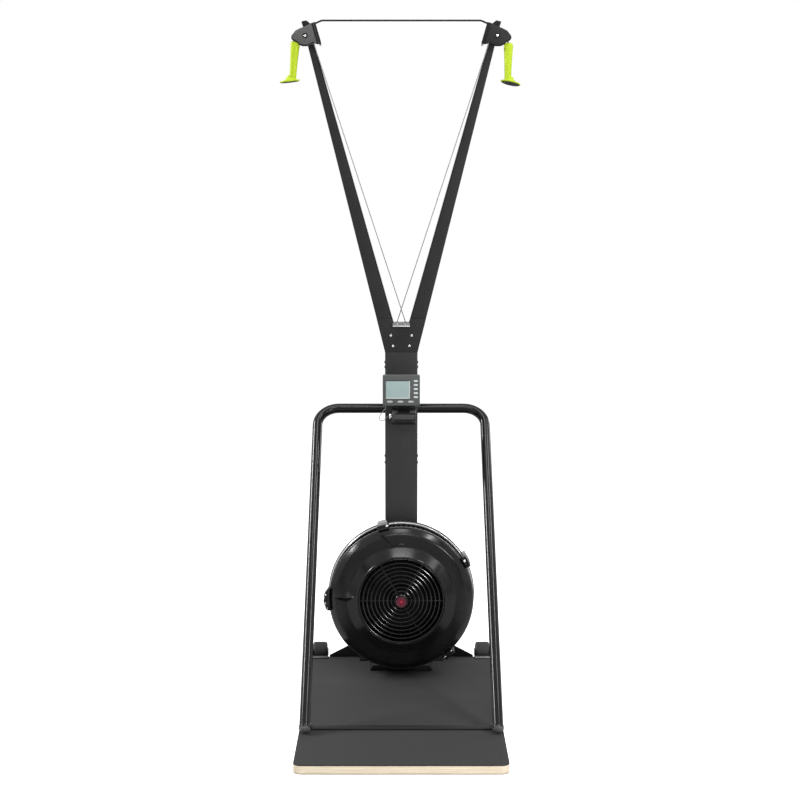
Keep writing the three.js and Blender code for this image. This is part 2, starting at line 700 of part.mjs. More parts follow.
function driveCordRoute(side) {
  const noseRadius = nosePin.radius + gap + cord.radius;
  const towardNose = Math.atan2(-nosePin.drop, nosePin.reach);
  const pinDistance = Math.hypot(nosePin.drop, nosePin.reach);
  const leave = towardNose + Math.acos((sheave.pitchRadius - noseRadius) / pinDistance);
  const holeTop = new THREE.Vector3(-cordHole.offset, holeDistance(side), guideSeat + cordGuide.height);
  const fromBolt = [holeTop.x - boltReach, holeTop.z - boltHeight];
  const arrive = Math.atan2(fromBolt[1], fromBolt[0])
    - Math.acos(sheave.pitchRadius / Math.hypot(...fromBolt)) + 2 * Math.PI;
  const spoolY = columnDistance + (side > 0 ? spoolSpacing.second : spoolSpacing.first);
  const windStart = side > 0 ? 0 : Math.PI;
  const windEnd = windStart - side * Math.PI;
  const wound = arcPoints(0, fan.axisHeight, spool.pitchRadius, windStart, windEnd, spoolY);
  return [
    ...arcPoints(
      boltReach + nosePin.reach, boltHeight - nosePin.drop, noseRadius,
      0, leave, sheaveDistance,
    ),
    ...arcPoints(boltReach, boltHeight, sheave.pitchRadius, leave, arrive, sheaveDistance),
    holeTop,
    new THREE.Vector3(holeTop.x, holeTop.y, tenonFloor()),
    ...wound,
  ];
}

function tenonFloor() {
  return column.top - head.tongueLength;
}

function buildCords() {
  for (const [side, name] of [[1, 'right'], [-1, 'left']]) {
    const route = driveCordRoute(side);
    const geometry = tube(route, cord.radius, cord.sides);
    add(assembly, `drive_cord_${name}`, side > 0 ? geometry : mirrored(geometry), finishes.cordGrey);
    const x = side * (boltReach + nosePin.reach + nosePin.radius + gap + cord.radius);
    const top = boltHeight - nosePin.drop;
    const end = spanZ(gripTop() + gap, top - gap, x, sheaveDistance, cord.radius, cord.sides);
    add(assembly, `cord_end_${name}`, end, finishes.cordGrey);
  }
}

// Handles: a waisted grip with a tilted flange at its foot.

function gripTop() {
  return boltHeight - grip.drop;
}

function buildHandles() {
  const rings = gripProfileShares.map(([down, wide, deep]) => {
    const ring = [];
    for (let i = 0; i < gripSides; i++) {
      const angle = i * 2 * Math.PI / gripSides;
      ring.push(new THREE.Vector3(
        wide * grip.width / 2 * Math.cos(angle), deep * grip.depth / 2 * Math.sin(angle), -down * grip.length,
      ));
    }
    return ring;
  });
  const flange = turned([
    [0, 0], [gripFlange.radius - gripFlange.thickness, 0], [gripFlange.radius, gripFlange.thickness],
    [gripFlange.neckRadius, gripFlange.coneHeight], [0, gripFlange.coneHeight],
  ]).rotateX(Math.PI / 2);
  flange.rotateY(THREE.MathUtils.degToRad(gripFlange.tiltDegrees));
  flange.translate(gripFlange.offset, 0, -grip.length - gripFlange.thickness);
  const handle = join(loft(rings), flange);
  const reach = boltReach + nosePin.reach + nosePin.radius + gap + cord.radius;
  const right = group(assembly, reach, sheaveDistance, gripTop());
  add(right, 'handle_right', handle, finishes.limeGrip);
  const left = group(assembly, -reach, sheaveDistance, gripTop());
  add(left, 'handle_left', mirrored(handle), finishes.limeGrip);
}

// Fan: a drum in front of the column. Its distances run back from the grille's plane.

function rimRound(radius, depth) {
  const across = fan.radius - fanFace.faceRadius;
  const points = [];
  for (let i = 0; i <= fanRim.roundSteps; i++) {
    const angle = i * Math.PI / 2 / fanRim.roundSteps;
    points.push([
      fan.radius - across + (radius - fan.radius + across) * Math.sin(angle),
      depth + across * (1 - Math.cos(angle)),
    ]);
  }
  return points;
}

function buildFanShells(drum) {
  const outside = [
    [fanFace.grilleRadius, 0], [fanFace.bevelRadius, fanFace.bevelDepth],
    ...rimRound(fan.radius, fanFace.faceDepth), [fan.radius, fanRim.depth],
  ];
  const inside = [
    [fan.radius - fan.wall, fanRim.depth],
    ...rimRound(fan.radius - fan.wall, fanFace.faceDepth + fan.wall).reverse(),
    [fanFace.bevelRadius, fanFace.bevelDepth + fan.wall], [fanFace.grilleRadius, fan.wall + gap],
  ];
  const profile = [...outside, ...inside];
  const skin = turned([...profile, profile[0]], fan.segments);
  const ridges = pointerDegrees.map((degrees) => {
    const ridge = new THREE.ConeGeometry(1, 1, 4).rotateX(Math.PI);
    ridge.scale(pointer.width / 2, pointer.height, pointer.length / 2);
    ridge.translate(0, fanFace.faceDepth + fan.wall / 2 - pointer.height / 2, pointer.reach);
    return ridge.rotateY(THREE.MathUtils.degToRad(degrees));
  });
  add(drum, 'fan_front_shell', join(skin, ...ridges), finishes.blackPlastic);

  const ringFront = fan.depth - fanRing.depth;
  const inner = fanRing.radius - fanRing.wall;
  const back = fan.depth - fanRing.backWall;
  const ringProfile = [
    [fanRing.boreRadius, back], [inner, back], [inner, ringFront], [fanRing.radius, ringFront],
    [fanRing.radius, fan.depth], [fanRing.boreRadius, fan.depth], [fanRing.boreRadius, back],
  ];
  const lugs = lugDegrees.map((middle) => sector(
    fan.radius + 2 * gap, fan.radius + lug.height, lug.front, fan.depth,
    middle, lug.halfSpanDegrees, lug.steps,
  ));
  add(drum, 'fan_rear_shell', join(turned(ringProfile, fan.segments), ...lugs), finishes.blackPlastic);

  const cageOuter = inner - 2 * gap;
  const cageFront = fanRim.depth + cage.frontGap;
  const cageBack = ringFront + cage.lap;
  const band = turned([
    [cageOuter - cage.wall, cageFront], [cageOuter, cageFront], [cageOuter, cageBack],
    [cageOuter - cage.wall, cageBack], [cageOuter - cage.wall, cageFront],
  ], fan.segments);
  add(drum, 'fan_cage', band, finishes.blackPlastic);

  const facetSag = cageOuter * (1 - Math.cos(Math.PI / fan.segments));
  const shutterOuter = cageOuter - cage.wall - facetSag - gap;
  const shutterFront = fanRim.depth + (cage.frontGap - damperTab.thickness) / 2;
  const shutter = turned([
    [shutterOuter - damper.wall, shutterFront], [shutterOuter, shutterFront], [shutterOuter, cageBack],
    [shutterOuter - damper.wall, cageBack], [shutterOuter - damper.wall, shutterFront],
  ], fan.segments);
  const gripInner = fan.radius + 2 * gap;
  const tab = block(
    -gripInner - damper.wall, -shutterOuter + damper.wall / 2,
    shutterFront, shutterFront + damperTab.thickness,
    -damperTab.width / 2, damperTab.width / 2,
  );
  const gripBlock = sector(
    gripInner, gripInner + damper.gripHeight, damper.gripFront, damper.gripFront + damper.gripDepth,
    -90, damper.gripHalfSpanDegrees, damper.steps,
  );
  add(drum, 'damper_ring', join(shutter, tab, gripBlock), finishes.blackPlastic);
}

function buildGrille(drum) {
  const rimRadius = fanFace.grilleRadius - gap;
  const pitch = (rimRadius - grille.ringWidth - grille.hubRadius) / grille.ringCount;
  const rings = [];
  for (let i = 1; i <= grille.ringCount; i++) {
    const inner = grille.hubRadius + i * pitch;
    rings.push(turned([
      [inner, 0], [inner + grille.ringWidth, 0], [inner + grille.ringWidth, grille.thickness],
      [inner, grille.thickness], [inner, 0],
    ], grille.segments));
  }
  const hub = turned([
    [0, -grille.hubRise], [grille.hubRadius, -grille.hubRise],
    [grille.hubRadius, grille.thickness], [0, grille.thickness],
  ]);
  const spokes = [];
  for (let i = 0; i < spokeCount / 2; i++) {
    const run = rimRadius - grille.ringWidth / 2;
    const spoke = block(
      -run, run, grille.thickness / 2, grille.thickness + grille.spokeWidth,
      -grille.spokeWidth / 2, grille.spokeWidth / 2,
    );
    spokes.push(spoke.rotateY(i * 2 * Math.PI / spokeCount));
  }
  add(drum, 'front_grille', join(hub, ...rings, ...spokes), finishes.blackPlastic);

  const face = -grille.hubRise - gap;
  const disc = turned([
    [0, face], [badge.radius, face], [badge.radius, face - badge.thickness + badge.dome],
    [0, face - badge.thickness],
  ]);
  add(drum, 'hub_badge', disc, finishes.redBadge);
}

function buildFanWheel(drum) {
  const back = fan.depth - fanRing.backWall - fanHub.rearClearance;
  const front = back - fanWheel.depth;
  const bore = axle.radius + gap;
  const disc = turned([
    [bore, back - fanWheel.discThickness], [fanWheel.radius, back - fanWheel.discThickness],
    [fanWheel.radius, back], [bore, back], [bore, back - fanWheel.discThickness],
  ], fan.segments);
  const hub = turned([
    [bore, front], [fanHub.radius, front], [fanHub.radius, back], [bore, back], [bore, front],
  ]);
  const blades = [];
  for (let i = 0; i < fanWheel.bladeCount; i++) {
    const blade = block(
      -fanWheel.bladeThickness / 2, fanWheel.bladeThickness / 2, front, back - fanWheel.discThickness / 2,
      fanWheel.bladeInner, fanWheel.radius - gap,
    );
    blades.push(blade.rotateY(i * 2 * Math.PI / fanWheel.bladeCount));
  }
  add(drum, 'fan_wheel', join(disc, hub, ...blades), finishes.blackPaint);

  const shaftEnd = columnDistance + column.depth - column.wall - gap - fanFront;
  const shaft = spanY(axle.frontInset, shaftEnd, 0, 0, axle.radius, smallSides);
  add(drum, 'main_axle', shaft, finishes.steel);

  const boxFront = fan.depth + gap;
  const boxBack = boxFront + bearingBox.length;
  const seat = boxBack - bearing.width;
  const shell = turned([
    [axle.radius + column.wall, boxFront], [bearingBox.radius, boxFront], [bearingBox.radius, boxBack],
    [bearing.radius + gap, boxBack], [bearing.radius + gap, seat - gap],
    [axle.radius + column.wall, seat - gap], [axle.radius + column.wall, boxFront],
  ]);
  add(drum, 'bearing_housing', shell, finishes.blackPaint);
  const race = turned([
    [axle.radius + gap, seat], [bearing.radius, seat], [bearing.radius, boxBack],
    [axle.radius + gap, boxBack], [axle.radius + gap, seat],
  ]);
  add(drum, 'axle_bearing', race, finishes.steel);

  const groove = spool.pitchRadius - cord.radius - gap;
  const rim = spool.pitchRadius + spool.flange;
  const [edge, lipEdge] = [spool.width / 2, spool.grooveWidth / 2];
  const profile = [
    [bore, -edge], [rim, -edge], [rim, -lipEdge], [groove, -lipEdge], [groove, lipEdge],
    [rim, lipEdge], [rim, edge], [bore, edge], [bore, -edge],
  ];
  for (const [name, setBack] of [['left', spoolSpacing.first], ['right', spoolSpacing.second]]) {
    const place = group(drum, 0, columnDistance + setBack - fanFront, 0);
    add(place, `drive_spool_${name}`, turned(profile, smallSides), finishes.blackPlastic);
  }
}

// Monitor: a case with a screen and keys, on a neck that turns on a hinge pin at the column.

function roundedRectangle(x0, x1, z0, z1, r) {
  const shape = new THREE.Shape();
  shape.moveTo(x0 + r, z0);
  shape.lineTo(x1 - r, z0);
  shape.absarc(x1 - r, z0 + r, r, -Math.PI / 2, 0, false);
  shape.lineTo(x1, z1 - r);
  shape.absarc(x1 - r, z1 - r, r, 0, Math.PI / 2, false);
  shape.lineTo(x0 + r, z1);
  shape.absarc(x0 + r, z1 - r, r, Math.PI / 2, Math.PI, false);
  shape.lineTo(x0, z0 + r);
  shape.absarc(x0 + r, z0 + r, r, Math.PI, 1.5 * Math.PI, false);
  return shape;
}

// A key's outline: round at both ends, or drawn to a point on one side.
function keyOutline(x, z, width, height, pointed, grow) {
  const [w, h] = [width / 2 + grow, height / 2 + grow];
  if (pointed === 0) {
    return roundedRectangle(x - w, x + w, z - h, z + h, h - gap / 2);
  }
  const points = [[-w, h], [-w, -h], [w - h, -h], [w, 0], [w - h, h]];
  return outline(points.map(([u, v]) => [x + pointed * u, z + v]));
}

function flatSlab(shape, y0, depth) {
  const geometry = new THREE.ExtrudeGeometry(shape, { depth, bevelEnabled: false, curveSegments: 3 });
  return geometry.rotateX(Math.PI / 2).translate(0, y0 + depth, 0);
}

function keyList() {
  const keys = [];
  for (let i = 0; i < sideKey.count; i++) {
    keys.push({
      name: `side_key_${sideKey.count - i}`, x: sideKey.x, z: sideKey.lowest + i * sideKey.pitch,
      width: sideKey.width, height: sideKey.height, pointed: 0,
    });
  }
  for (const [name, step] of [['lower_key_left', -1], ['lower_key_middle', 0], ['lower_key_right', 1]]) {
    keys.push({
      name, x: lowerKey.middle + step * lowerKey.pitch, z: lowerKey.z,
      width: lowerKey.width, height: lowerKey.height, pointed: step,
    });
  }
  return keys;
}

function buildMonitor() {
  // Heights in the group run up from the case's underside, distances back from its front face.
  const front = columnDistance - monitor.reach;
  const face = group(assembly, 0, front, monitorBottom);
  const half = monitor.width / 2;
  const e = monitor.edge;
  const body = new THREE.ExtrudeGeometry(
    roundedRectangle(-half + e, half - e, e, monitor.height - e, monitor.cornerRadius - e),
    {
      depth: monitor.depth - 2 * e, curveSegments: 3,
      bevelEnabled: true, bevelThickness: e, bevelSize: e, bevelSegments: 1,
    },
  ).rotateX(Math.PI / 2).translate(0, monitor.depth - e, 0);
  const keys = keyList();
  const room = keySize.thickness - keySize.proud + keySize.travelRoom;
  const pockets = keys.map((key) => flatSlab(
    keyOutline(key.x, key.z, key.width, key.height, key.pointed, gap), -overrun, overrun + room,
  ));
  const window = block(
    screen.left - gap, screen.left + screen.width + gap, -overrun, screen.recess,
    screen.bottom - gap, screen.bottom + screen.height + gap,
  );
  add(face, 'monitor_case', cut(body, window, ...pockets), finishes.monitorShell);
  const glass = block(
    screen.left, screen.left + screen.width, screen.recess - gap - screen.thickness, screen.recess - gap,
    screen.bottom, screen.bottom + screen.height,
  );
  add(face, 'monitor_screen', glass, finishes.screenGlass);
  for (const key of keys) {
    const shape = keyOutline(key.x, key.z, key.width, key.height, key.pointed, 0);
    add(face, key.name, flatSlab(shape, -keySize.proud, keySize.thickness), finishes.keyGrey);
  }
}

function buildHinge() {
  // The group stands on the hinge's axis.
  const axisDistance = columnDistance - monitorPlate.thickness - barrel.clearance / 2 - barrel.radius;
  const hinge = group(assembly, 0, axisDistance, barrel.height);
  const caseBottom = monitorBottom - barrel.height - gap;
  const caseFront = columnDistance - monitor.reach - axisDistance;
  const sleeve = turnedAlongX([
    [hingePin.radius + gap, barrel.left], [barrel.radius, barrel.left], [barrel.radius, barrel.right],
    [hingePin.radius + gap, barrel.right], [hingePin.radius + gap, barrel.left],
  ], roundSides);
  const stem = [
    [caseFront + neck.thickness / 2, caseBottom], [caseFront + monitor.depth, caseBottom],
    [0, barrel.radius - neck.thickness / 4], [-barrel.radius + neck.thickness / 4, 0],
  ];
  const webs = [neck.left, neck.right].map((x) => stem.map(([y, z]) => new THREE.Vector3(x, y, z)));
  const hingeBore = (x0, x1) => spanX(x0, x1, 0, 0, hingePin.radius + gap, roundSides);
  const passage = hingeBore(barrel.left - overrun, barrel.right + overrun);
  add(hinge, 'monitor_neck', cut(join(sleeve, loft(webs)), passage), finishes.blackPlastic);

  const plateBackFace = columnDistance - gap - axisDistance;
  const plateFrontFace = plateBackFace - monitorPlate.thickness;
  const left = barrel.left - gap - hingeEar.thickness;
  const right = barrel.right + gap + hingeEar.thickness;
  const rise = monitorPlate.height / 2;
  const plate = block(left, right, plateFrontFace, plateBackFace, -rise, rise);
  const ears = [[left, barrel.left - gap], [barrel.right + gap, right]].flatMap(([x0, x1]) => [
    spanX(x0, x1, 0, 0, barrel.radius, roundSides),
    block(x0, x1, 0, plateBackFace - monitorPlate.thickness / 2, -barrel.radius, barrel.radius),
  ]);
  const holder = cut(join(plate, ...ears), hingeBore(left - overrun, right + overrun));
  add(hinge, 'monitor_bracket', holder, finishes.blackPaint);
  const pin = join(
    spanX(left - gap, right, 0, 0, hingePin.radius, smallSides),
    spanX(left - gap - hingePin.headLength, left - gap, 0, 0, hingePin.headRadius, smallSides),
  );
  add(hinge, 'hinge_pin', pin, finishes.steel);

  // The cable hangs in a small loop from the case to the head of the pin.
  const start = [signalCable.side, caseFront + signalCable.inset, caseBottom];
  const end = [left - gap - hingePin.headLength - gap, 0, 0];
  const loop = [
    start, [-50.5, -44, 36], [-52, -44, 31], [-56.5, -43.5, 25], [-61.5, -42, 19], [-66, -39.5, 12.5],
    [-69.3, -36, 5.5], [-70.3, -31.5, -1.5], [-68.8, -26.5, -7.5], [-65.2, -21, -11.6], [-60.2, -15, -12.8],
    [-55, -9, -10.6], [-50.5, -4, -6.2], [-46.5, -1, -2.2], [-43, 0, -0.2], end,
  ].map(([x, y, z]) => new THREE.Vector3(x, y, z));
  add(hinge, 'sensor_cable', tube(loop, signalCable.radius, signalCable.sides), finishes.cordGrey);
}

// Transport wheels behind the board, each between the ears of an angle bracket.

function buildWheels() {
  const outer = board.width / 2 + wheelBracket.overhang;
  const wheelOuter = outer - wheelBracket.thickness - wheelBracket.sideGap;
  const wheelInner = wheelOuter - wheel.width;
  const inner = wheelInner - wheelBracket.sideGap - wheelBracket.thickness;
  const axisHeight = wheel.radius + wheel.floorGap;
  const bore = wheelAxle.radius + gap;
  const roller = turnedAlongX([
    [bore, 0], [wheel.radius - wheel.tyre, 0], [wheel.radius, wheel.tyre],
    [wheel.radius, wheel.width - wheel.tyre], [wheel.radius - wheel.tyre, wheel.width], [bore, wheel.width],
    [bore, 0],
  ], wheel.sides);

  const rear = board.depth + gap;
  const plateRear = rear + wheelBracket.thickness;
  const flangeTop = deckTop + wheelBracket.thickness;
  const earSpans = [[inner, wheelInner - wheelBracket.sideGap], [wheelOuter + wheelBracket.sideGap, outer]];
  const ears = earSpans.map(([x0, x1]) => block(
    x0, x1, plateRear - wheelBracket.thickness / 2, wheelDistance + wheelBracket.earHeight / 2,
    axisHeight - wheelBracket.earHeight / 2, axisHeight + wheelBracket.earHeight / 2,
  ));
  const bracket = join(
    block(inner, outer, board.depth - wheelBracket.topReach, plateRear, deckTop, flangeTop),
    block(inner, outer, rear, plateRear, wheelBracket.plateBottom, flangeTop),
    ...ears,
    spanX(inner, outer, wheelDistance, axisHeight, wheelAxle.radius, smallSides),
  );
  add(assembly, 'wheel_bracket_right', bracket, finishes.blackPaint);
  add(assembly, 'wheel_bracket_left', mirrored(bracket), finishes.blackPaint);
  const right = group(assembly, wheelInner, wheelDistance, axisHeight);
  add(right, 'transport_wheel_right', roller, finishes.wheelRubber);
  const left = group(assembly, -wheelInner, wheelDistance, axisHeight);
  add(left, 'transport_wheel_left', mirrored(roller), finishes.wheelRubber);
}

buildPlatform();
buildSideTube();
buildColumn();
buildHead();
buildArms();
buildTopPulleys();
buildCords();
buildHandles();
const drum = group(assembly, 0, fanFront, fan.axisHeight);
buildFanShells(drum);
buildGrille(drum);
buildFanWheel(drum);
buildMonitor();
buildHinge();
buildWheels();

export default machine;
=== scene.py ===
import math

import bmesh
import bpy
import numpy as np
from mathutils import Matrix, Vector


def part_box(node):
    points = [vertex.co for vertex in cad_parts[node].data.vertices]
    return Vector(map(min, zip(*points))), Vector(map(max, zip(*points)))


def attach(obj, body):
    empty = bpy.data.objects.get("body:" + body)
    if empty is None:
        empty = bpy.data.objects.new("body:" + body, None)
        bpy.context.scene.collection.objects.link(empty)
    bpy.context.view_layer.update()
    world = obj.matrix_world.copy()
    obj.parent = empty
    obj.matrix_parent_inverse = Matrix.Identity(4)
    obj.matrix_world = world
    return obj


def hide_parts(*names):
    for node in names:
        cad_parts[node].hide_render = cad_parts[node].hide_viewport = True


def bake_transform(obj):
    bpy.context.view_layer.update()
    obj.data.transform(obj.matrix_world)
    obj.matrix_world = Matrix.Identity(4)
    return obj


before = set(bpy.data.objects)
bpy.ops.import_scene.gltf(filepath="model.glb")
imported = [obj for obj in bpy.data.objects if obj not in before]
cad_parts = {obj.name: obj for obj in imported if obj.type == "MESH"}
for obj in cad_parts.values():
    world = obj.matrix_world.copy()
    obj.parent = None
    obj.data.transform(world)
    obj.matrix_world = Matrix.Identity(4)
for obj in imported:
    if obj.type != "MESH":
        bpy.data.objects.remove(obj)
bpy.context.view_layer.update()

root = "root"
left, right = -1, 1
sideNames = {left: "left", right: "right"}
gap = 0.0003  # keeps faces that meet from lying in one another
pole = 0.0002  # a solid turned shape ends this near to its axis, in a small cap


def addObject(name, data):
    made = bpy.data.objects.new(name, data)
    bpy.context.scene.collection.objects.link(made)
    return made


# nodes

def fillSockets(tree, node, values):
    # a value that is another node's output is linked, any other is set
    for key, value in values.items():
        if isinstance(value, bpy.types.NodeSocket):
            tree.links.new(value, node.inputs[key])
        else:
            node.inputs[key].default_value = value


def addNode(tree, kind, values=None, operation=None, group=None):
    # gives back the new node's outputs
    node = tree.nodes.new(f"ShaderNode{kind}")
    if operation:
        node.operation = operation
    if group:
        node.node_tree = group
    fillSockets(tree, node, values or {})
    return node.outputs


def newMaterial(name):
    material = bpy.data.materials.new(name)
    material.use_nodes = True
    return material, material.node_tree, material.node_tree.nodes["Principled BSDF"]


def newGroup(name, inputs, outputs):
    # an input of four numbers is a colour, any other is one number
    group = bpy.data.node_groups.new(name, "ShaderNodeTree")
    for key, value in inputs.items():
        kind = "NodeSocketColor" if isinstance(value, tuple) else "NodeSocketFloat"
        group.interface.new_socket(name=key, in_out="INPUT", socket_type=kind).default_value = value
    for key, kind in outputs.items():
        group.interface.new_socket(name=key, in_out="OUTPUT", socket_type=f"NodeSocket{kind}")
    return group, group.nodes.new("NodeGroupInput").outputs, group.nodes.new("NodeGroupOutput")


# the camera and the stage

cameraSettings = {
    "height": 1.6, "distance": 5.497, "tiltDown": 6.56, "focalPixels": 1822, "imagePixels": 800,
    "centrePixel": 401.3, "sensor": 36, "farLimit": 100,
}

stageSettings = {
    "floorSize": 40, "floorColour": (0.86, 0.86, 0.86, 1), "floorRoughness": 0.9, "floorLift": 0.84,
    "worldLight": 0.14, "lampAim": (0, 0.2, 1.0),
}

# place, width, height, watts; every lamp looks at the middle of the machine
lampSettings = {
    "overhead": ((0.0, -0.2, 4.8), 1.0, 1.0, 30),
    "overheadStrip": ((2.5, -0.3, 4.6), 2.2, 0.35, 78),
    "rightFront": ((2.1, -3.37, 1.63), 0.2, 0.2, 60),
    "rightSide": ((3.1, -2.75, 2.5), 1.0, 1.0, 27),
    "frontAbove": ((0.1, -2.7, 3.95), 1.9, 0.48, 56),
    "leftFront": ((-3.0, -4.4, 3.0), 1.4, 1.4, 9),
    "leftStrip": ((-3.3, 0.9, 2.9), 2.0, 0.35, 140),
    "rimRight": ((2.8, 3.0, 1.9), 0.8, 0.8, 20),
}


def makeCamera():
    # the lens is the focal length in pixels times the sensor's share of a pixel
    s = cameraSettings
    camera = addObject("camera", bpy.data.cameras.new("camera"))
    camera.data.sensor_width = s["sensor"]
    camera.data.lens = s["focalPixels"] / s["imagePixels"] * s["sensor"]
    camera.data.shift_x = (s["imagePixels"] / 2 - s["centrePixel"]) / s["imagePixels"]
    camera.data.clip_end = s["farLimit"]
    camera.location = (0, -s["distance"], s["height"])
    camera.rotation_euler = (math.radians(90 - s["tiltDown"]), 0, 0)
    bpy.context.scene.camera = camera


def makeFloor():
    # the floor is lifted to near white where the camera sees it, and keeps the shadows
    s = stageSettings
    half = s["floorSize"] / 2
    mesh = bpy.data.meshes.new("studioFloor")
    corners = onPlane(rectangle(-half, half, -half, half), 0, "z")
    mesh.from_pydata(corners.tolist(), [], [(0, 1, 2, 3)])
    floor = addObject("studioFloor", mesh)
    material, tree, shader = newMaterial("paleFloor")
    seen = addNode(tree, "LightPath")["Is Camera Ray"]
    fillSockets(tree, shader, {
        "Base Color": s["floorColour"], "Roughness": s["floorRoughness"], "Emission Color": (1, 1, 1, 1),
        "Emission Strength": addNode(tree, "Math", {0: seen, 1: s["floorLift"]}, "MULTIPLY")[0],
    })
    mesh.materials.append(material)


def makeWorld():
    # the world is white where it is seen, mirrored or looked through, and dimmer as a light
    world = bpy.data.worlds.new("studioWorld")
    bpy.context.scene.world = world
    world.use_nodes = True
    tree = world.node_tree
    rays = addNode(tree, "LightPath")
    seen = addNode(tree, "Math", {0: rays["Is Camera Ray"], 1: rays["Is Glossy Ray"]}, "MAXIMUM")[0]
    seen = addNode(tree, "Math", {0: seen, 1: rays["Is Transmission Ray"]}, "MAXIMUM")[0]
    strength = addNode(tree, "MapRange", {
        "Value": seen, "To Min": stageSettings["worldLight"], "To Max": 1,
    })["Result"]
    fillSockets(tree, tree.nodes["Background"], {"Color": (1, 1, 1, 1), "Strength": strength})


def makeLamps():
    # a lamp shines down its own z axis: tilted by the aim's angle from the upright, then turned to face it
    aim = np.array(stageSettings["lampAim"])
    for name, (place, width, height, watts) in lampSettings.items():
        lamp = addObject(name, bpy.data.lights.new(name, "AREA"))
        lamp.data.shape = "RECTANGLE"
        lamp.data.size, lamp.data.size_y = width, height
        lamp.data.energy = watts
        lamp.location = place
        x, y, z = np.array(place) - aim
        lamp.rotation_euler = (math.atan2(math.hypot(x, y), z), 0, math.atan2(x, -y))


# materials

def makeSurfaceGroup():
    # fine noise is the bump; broad noise from -1 to 1, times a spread, shifts the tone and the roughness
    group, given, made = newGroup("surfaceGrain", {
        "Colour": (0.5, 0.5, 0.5, 1), "Tone spread": 0.2, "Grain size": 0.001, "Grain height": 0.0001,
        "Roughness": 0.5, "Roughness spread": 0.1, "Patch size": 0.08,
    }, {"Colour": "Color", "Roughness": "Float", "Normal": "Vector"})
    place = addNode(group, "TexCoord")["Object"]

    def noiseOf(size, detail):
        scale = addNode(group, "Math", {0: 1, 1: given[size]}, "DIVIDE")[0]
        return addNode(group, "TexNoise", {"Vector": place, "Scale": scale, "Detail": detail})["Fac"]

    broad = addNode(group, "MapRange", {
        "Value": noiseOf("Patch size", 5), "From Min": 0.25, "From Max": 0.75, "To Min": -1, "To Max": 1,
    })["Result"]

    def shifted(spread, base):
        return addNode(group, "Math", {0: broad, 1: given[spread], 2: base}, "MULTIPLY_ADD")[0]

    tone = addNode(group, "VectorMath", {0: given["Colour"], "Scale": shifted("Tone spread", 1)}, "SCALE")
    bump = addNode(group, "Bump", {"Height": noiseOf("Grain size", 2), "Distance": given["Grain height"]})
    fillSockets(group, made, {
        "Colour": tone["Vector"], "Roughness": shifted("Roughness spread", given["Roughness"]),
        "Normal": bump["Normal"],
    })
    return group


def makeBraidGroup():
    # two sine waves wind opposite ways round a cord; where their product is large a strand lies on top
    group, given, made = newGroup("braidPattern", {
        "Colour": (0.5, 0.5, 0.5, 1), "Pitch": 0.006, "Strands": 3.0, "Height": 0.0003,
    }, {"Colour": "Color", "Normal": "Vector"})

    def calculate(operation, first, second=0):
        return addNode(group, "Math", {0: first, 1: second}, operation)[0]

    place = addNode(group, "SeparateXYZ", {0: addNode(group, "TexCoord")["UV"]})
    along = calculate("DIVIDE", place["X"], given["Pitch"])
    around = calculate("MULTIPLY", place["Y"], given["Strands"])
    waves = [
        calculate("SINE", calculate("MULTIPLY", calculate(operation, along, around), 2 * math.pi))
        for operation in ("ADD", "SUBTRACT")
    ]
    strand = calculate("ABSOLUTE", calculate("MULTIPLY", *waves))
    shade = addNode(group, "MapRange", {"Value": strand, "To Min": 0.45})["Result"]
    tone = addNode(group, "VectorMath", {0: given["Colour"], "Scale": shade}, "SCALE")
    bump = addNode(group, "Bump", {"Height": strand, "Distance": given["Height"]})
    fillSockets(group, made, {"Colour": tone["Vector"], "Normal": bump["Normal"]})
    return group


surfaceGrain = makeSurfaceGroup()
braidPattern = makeBraidGroup()

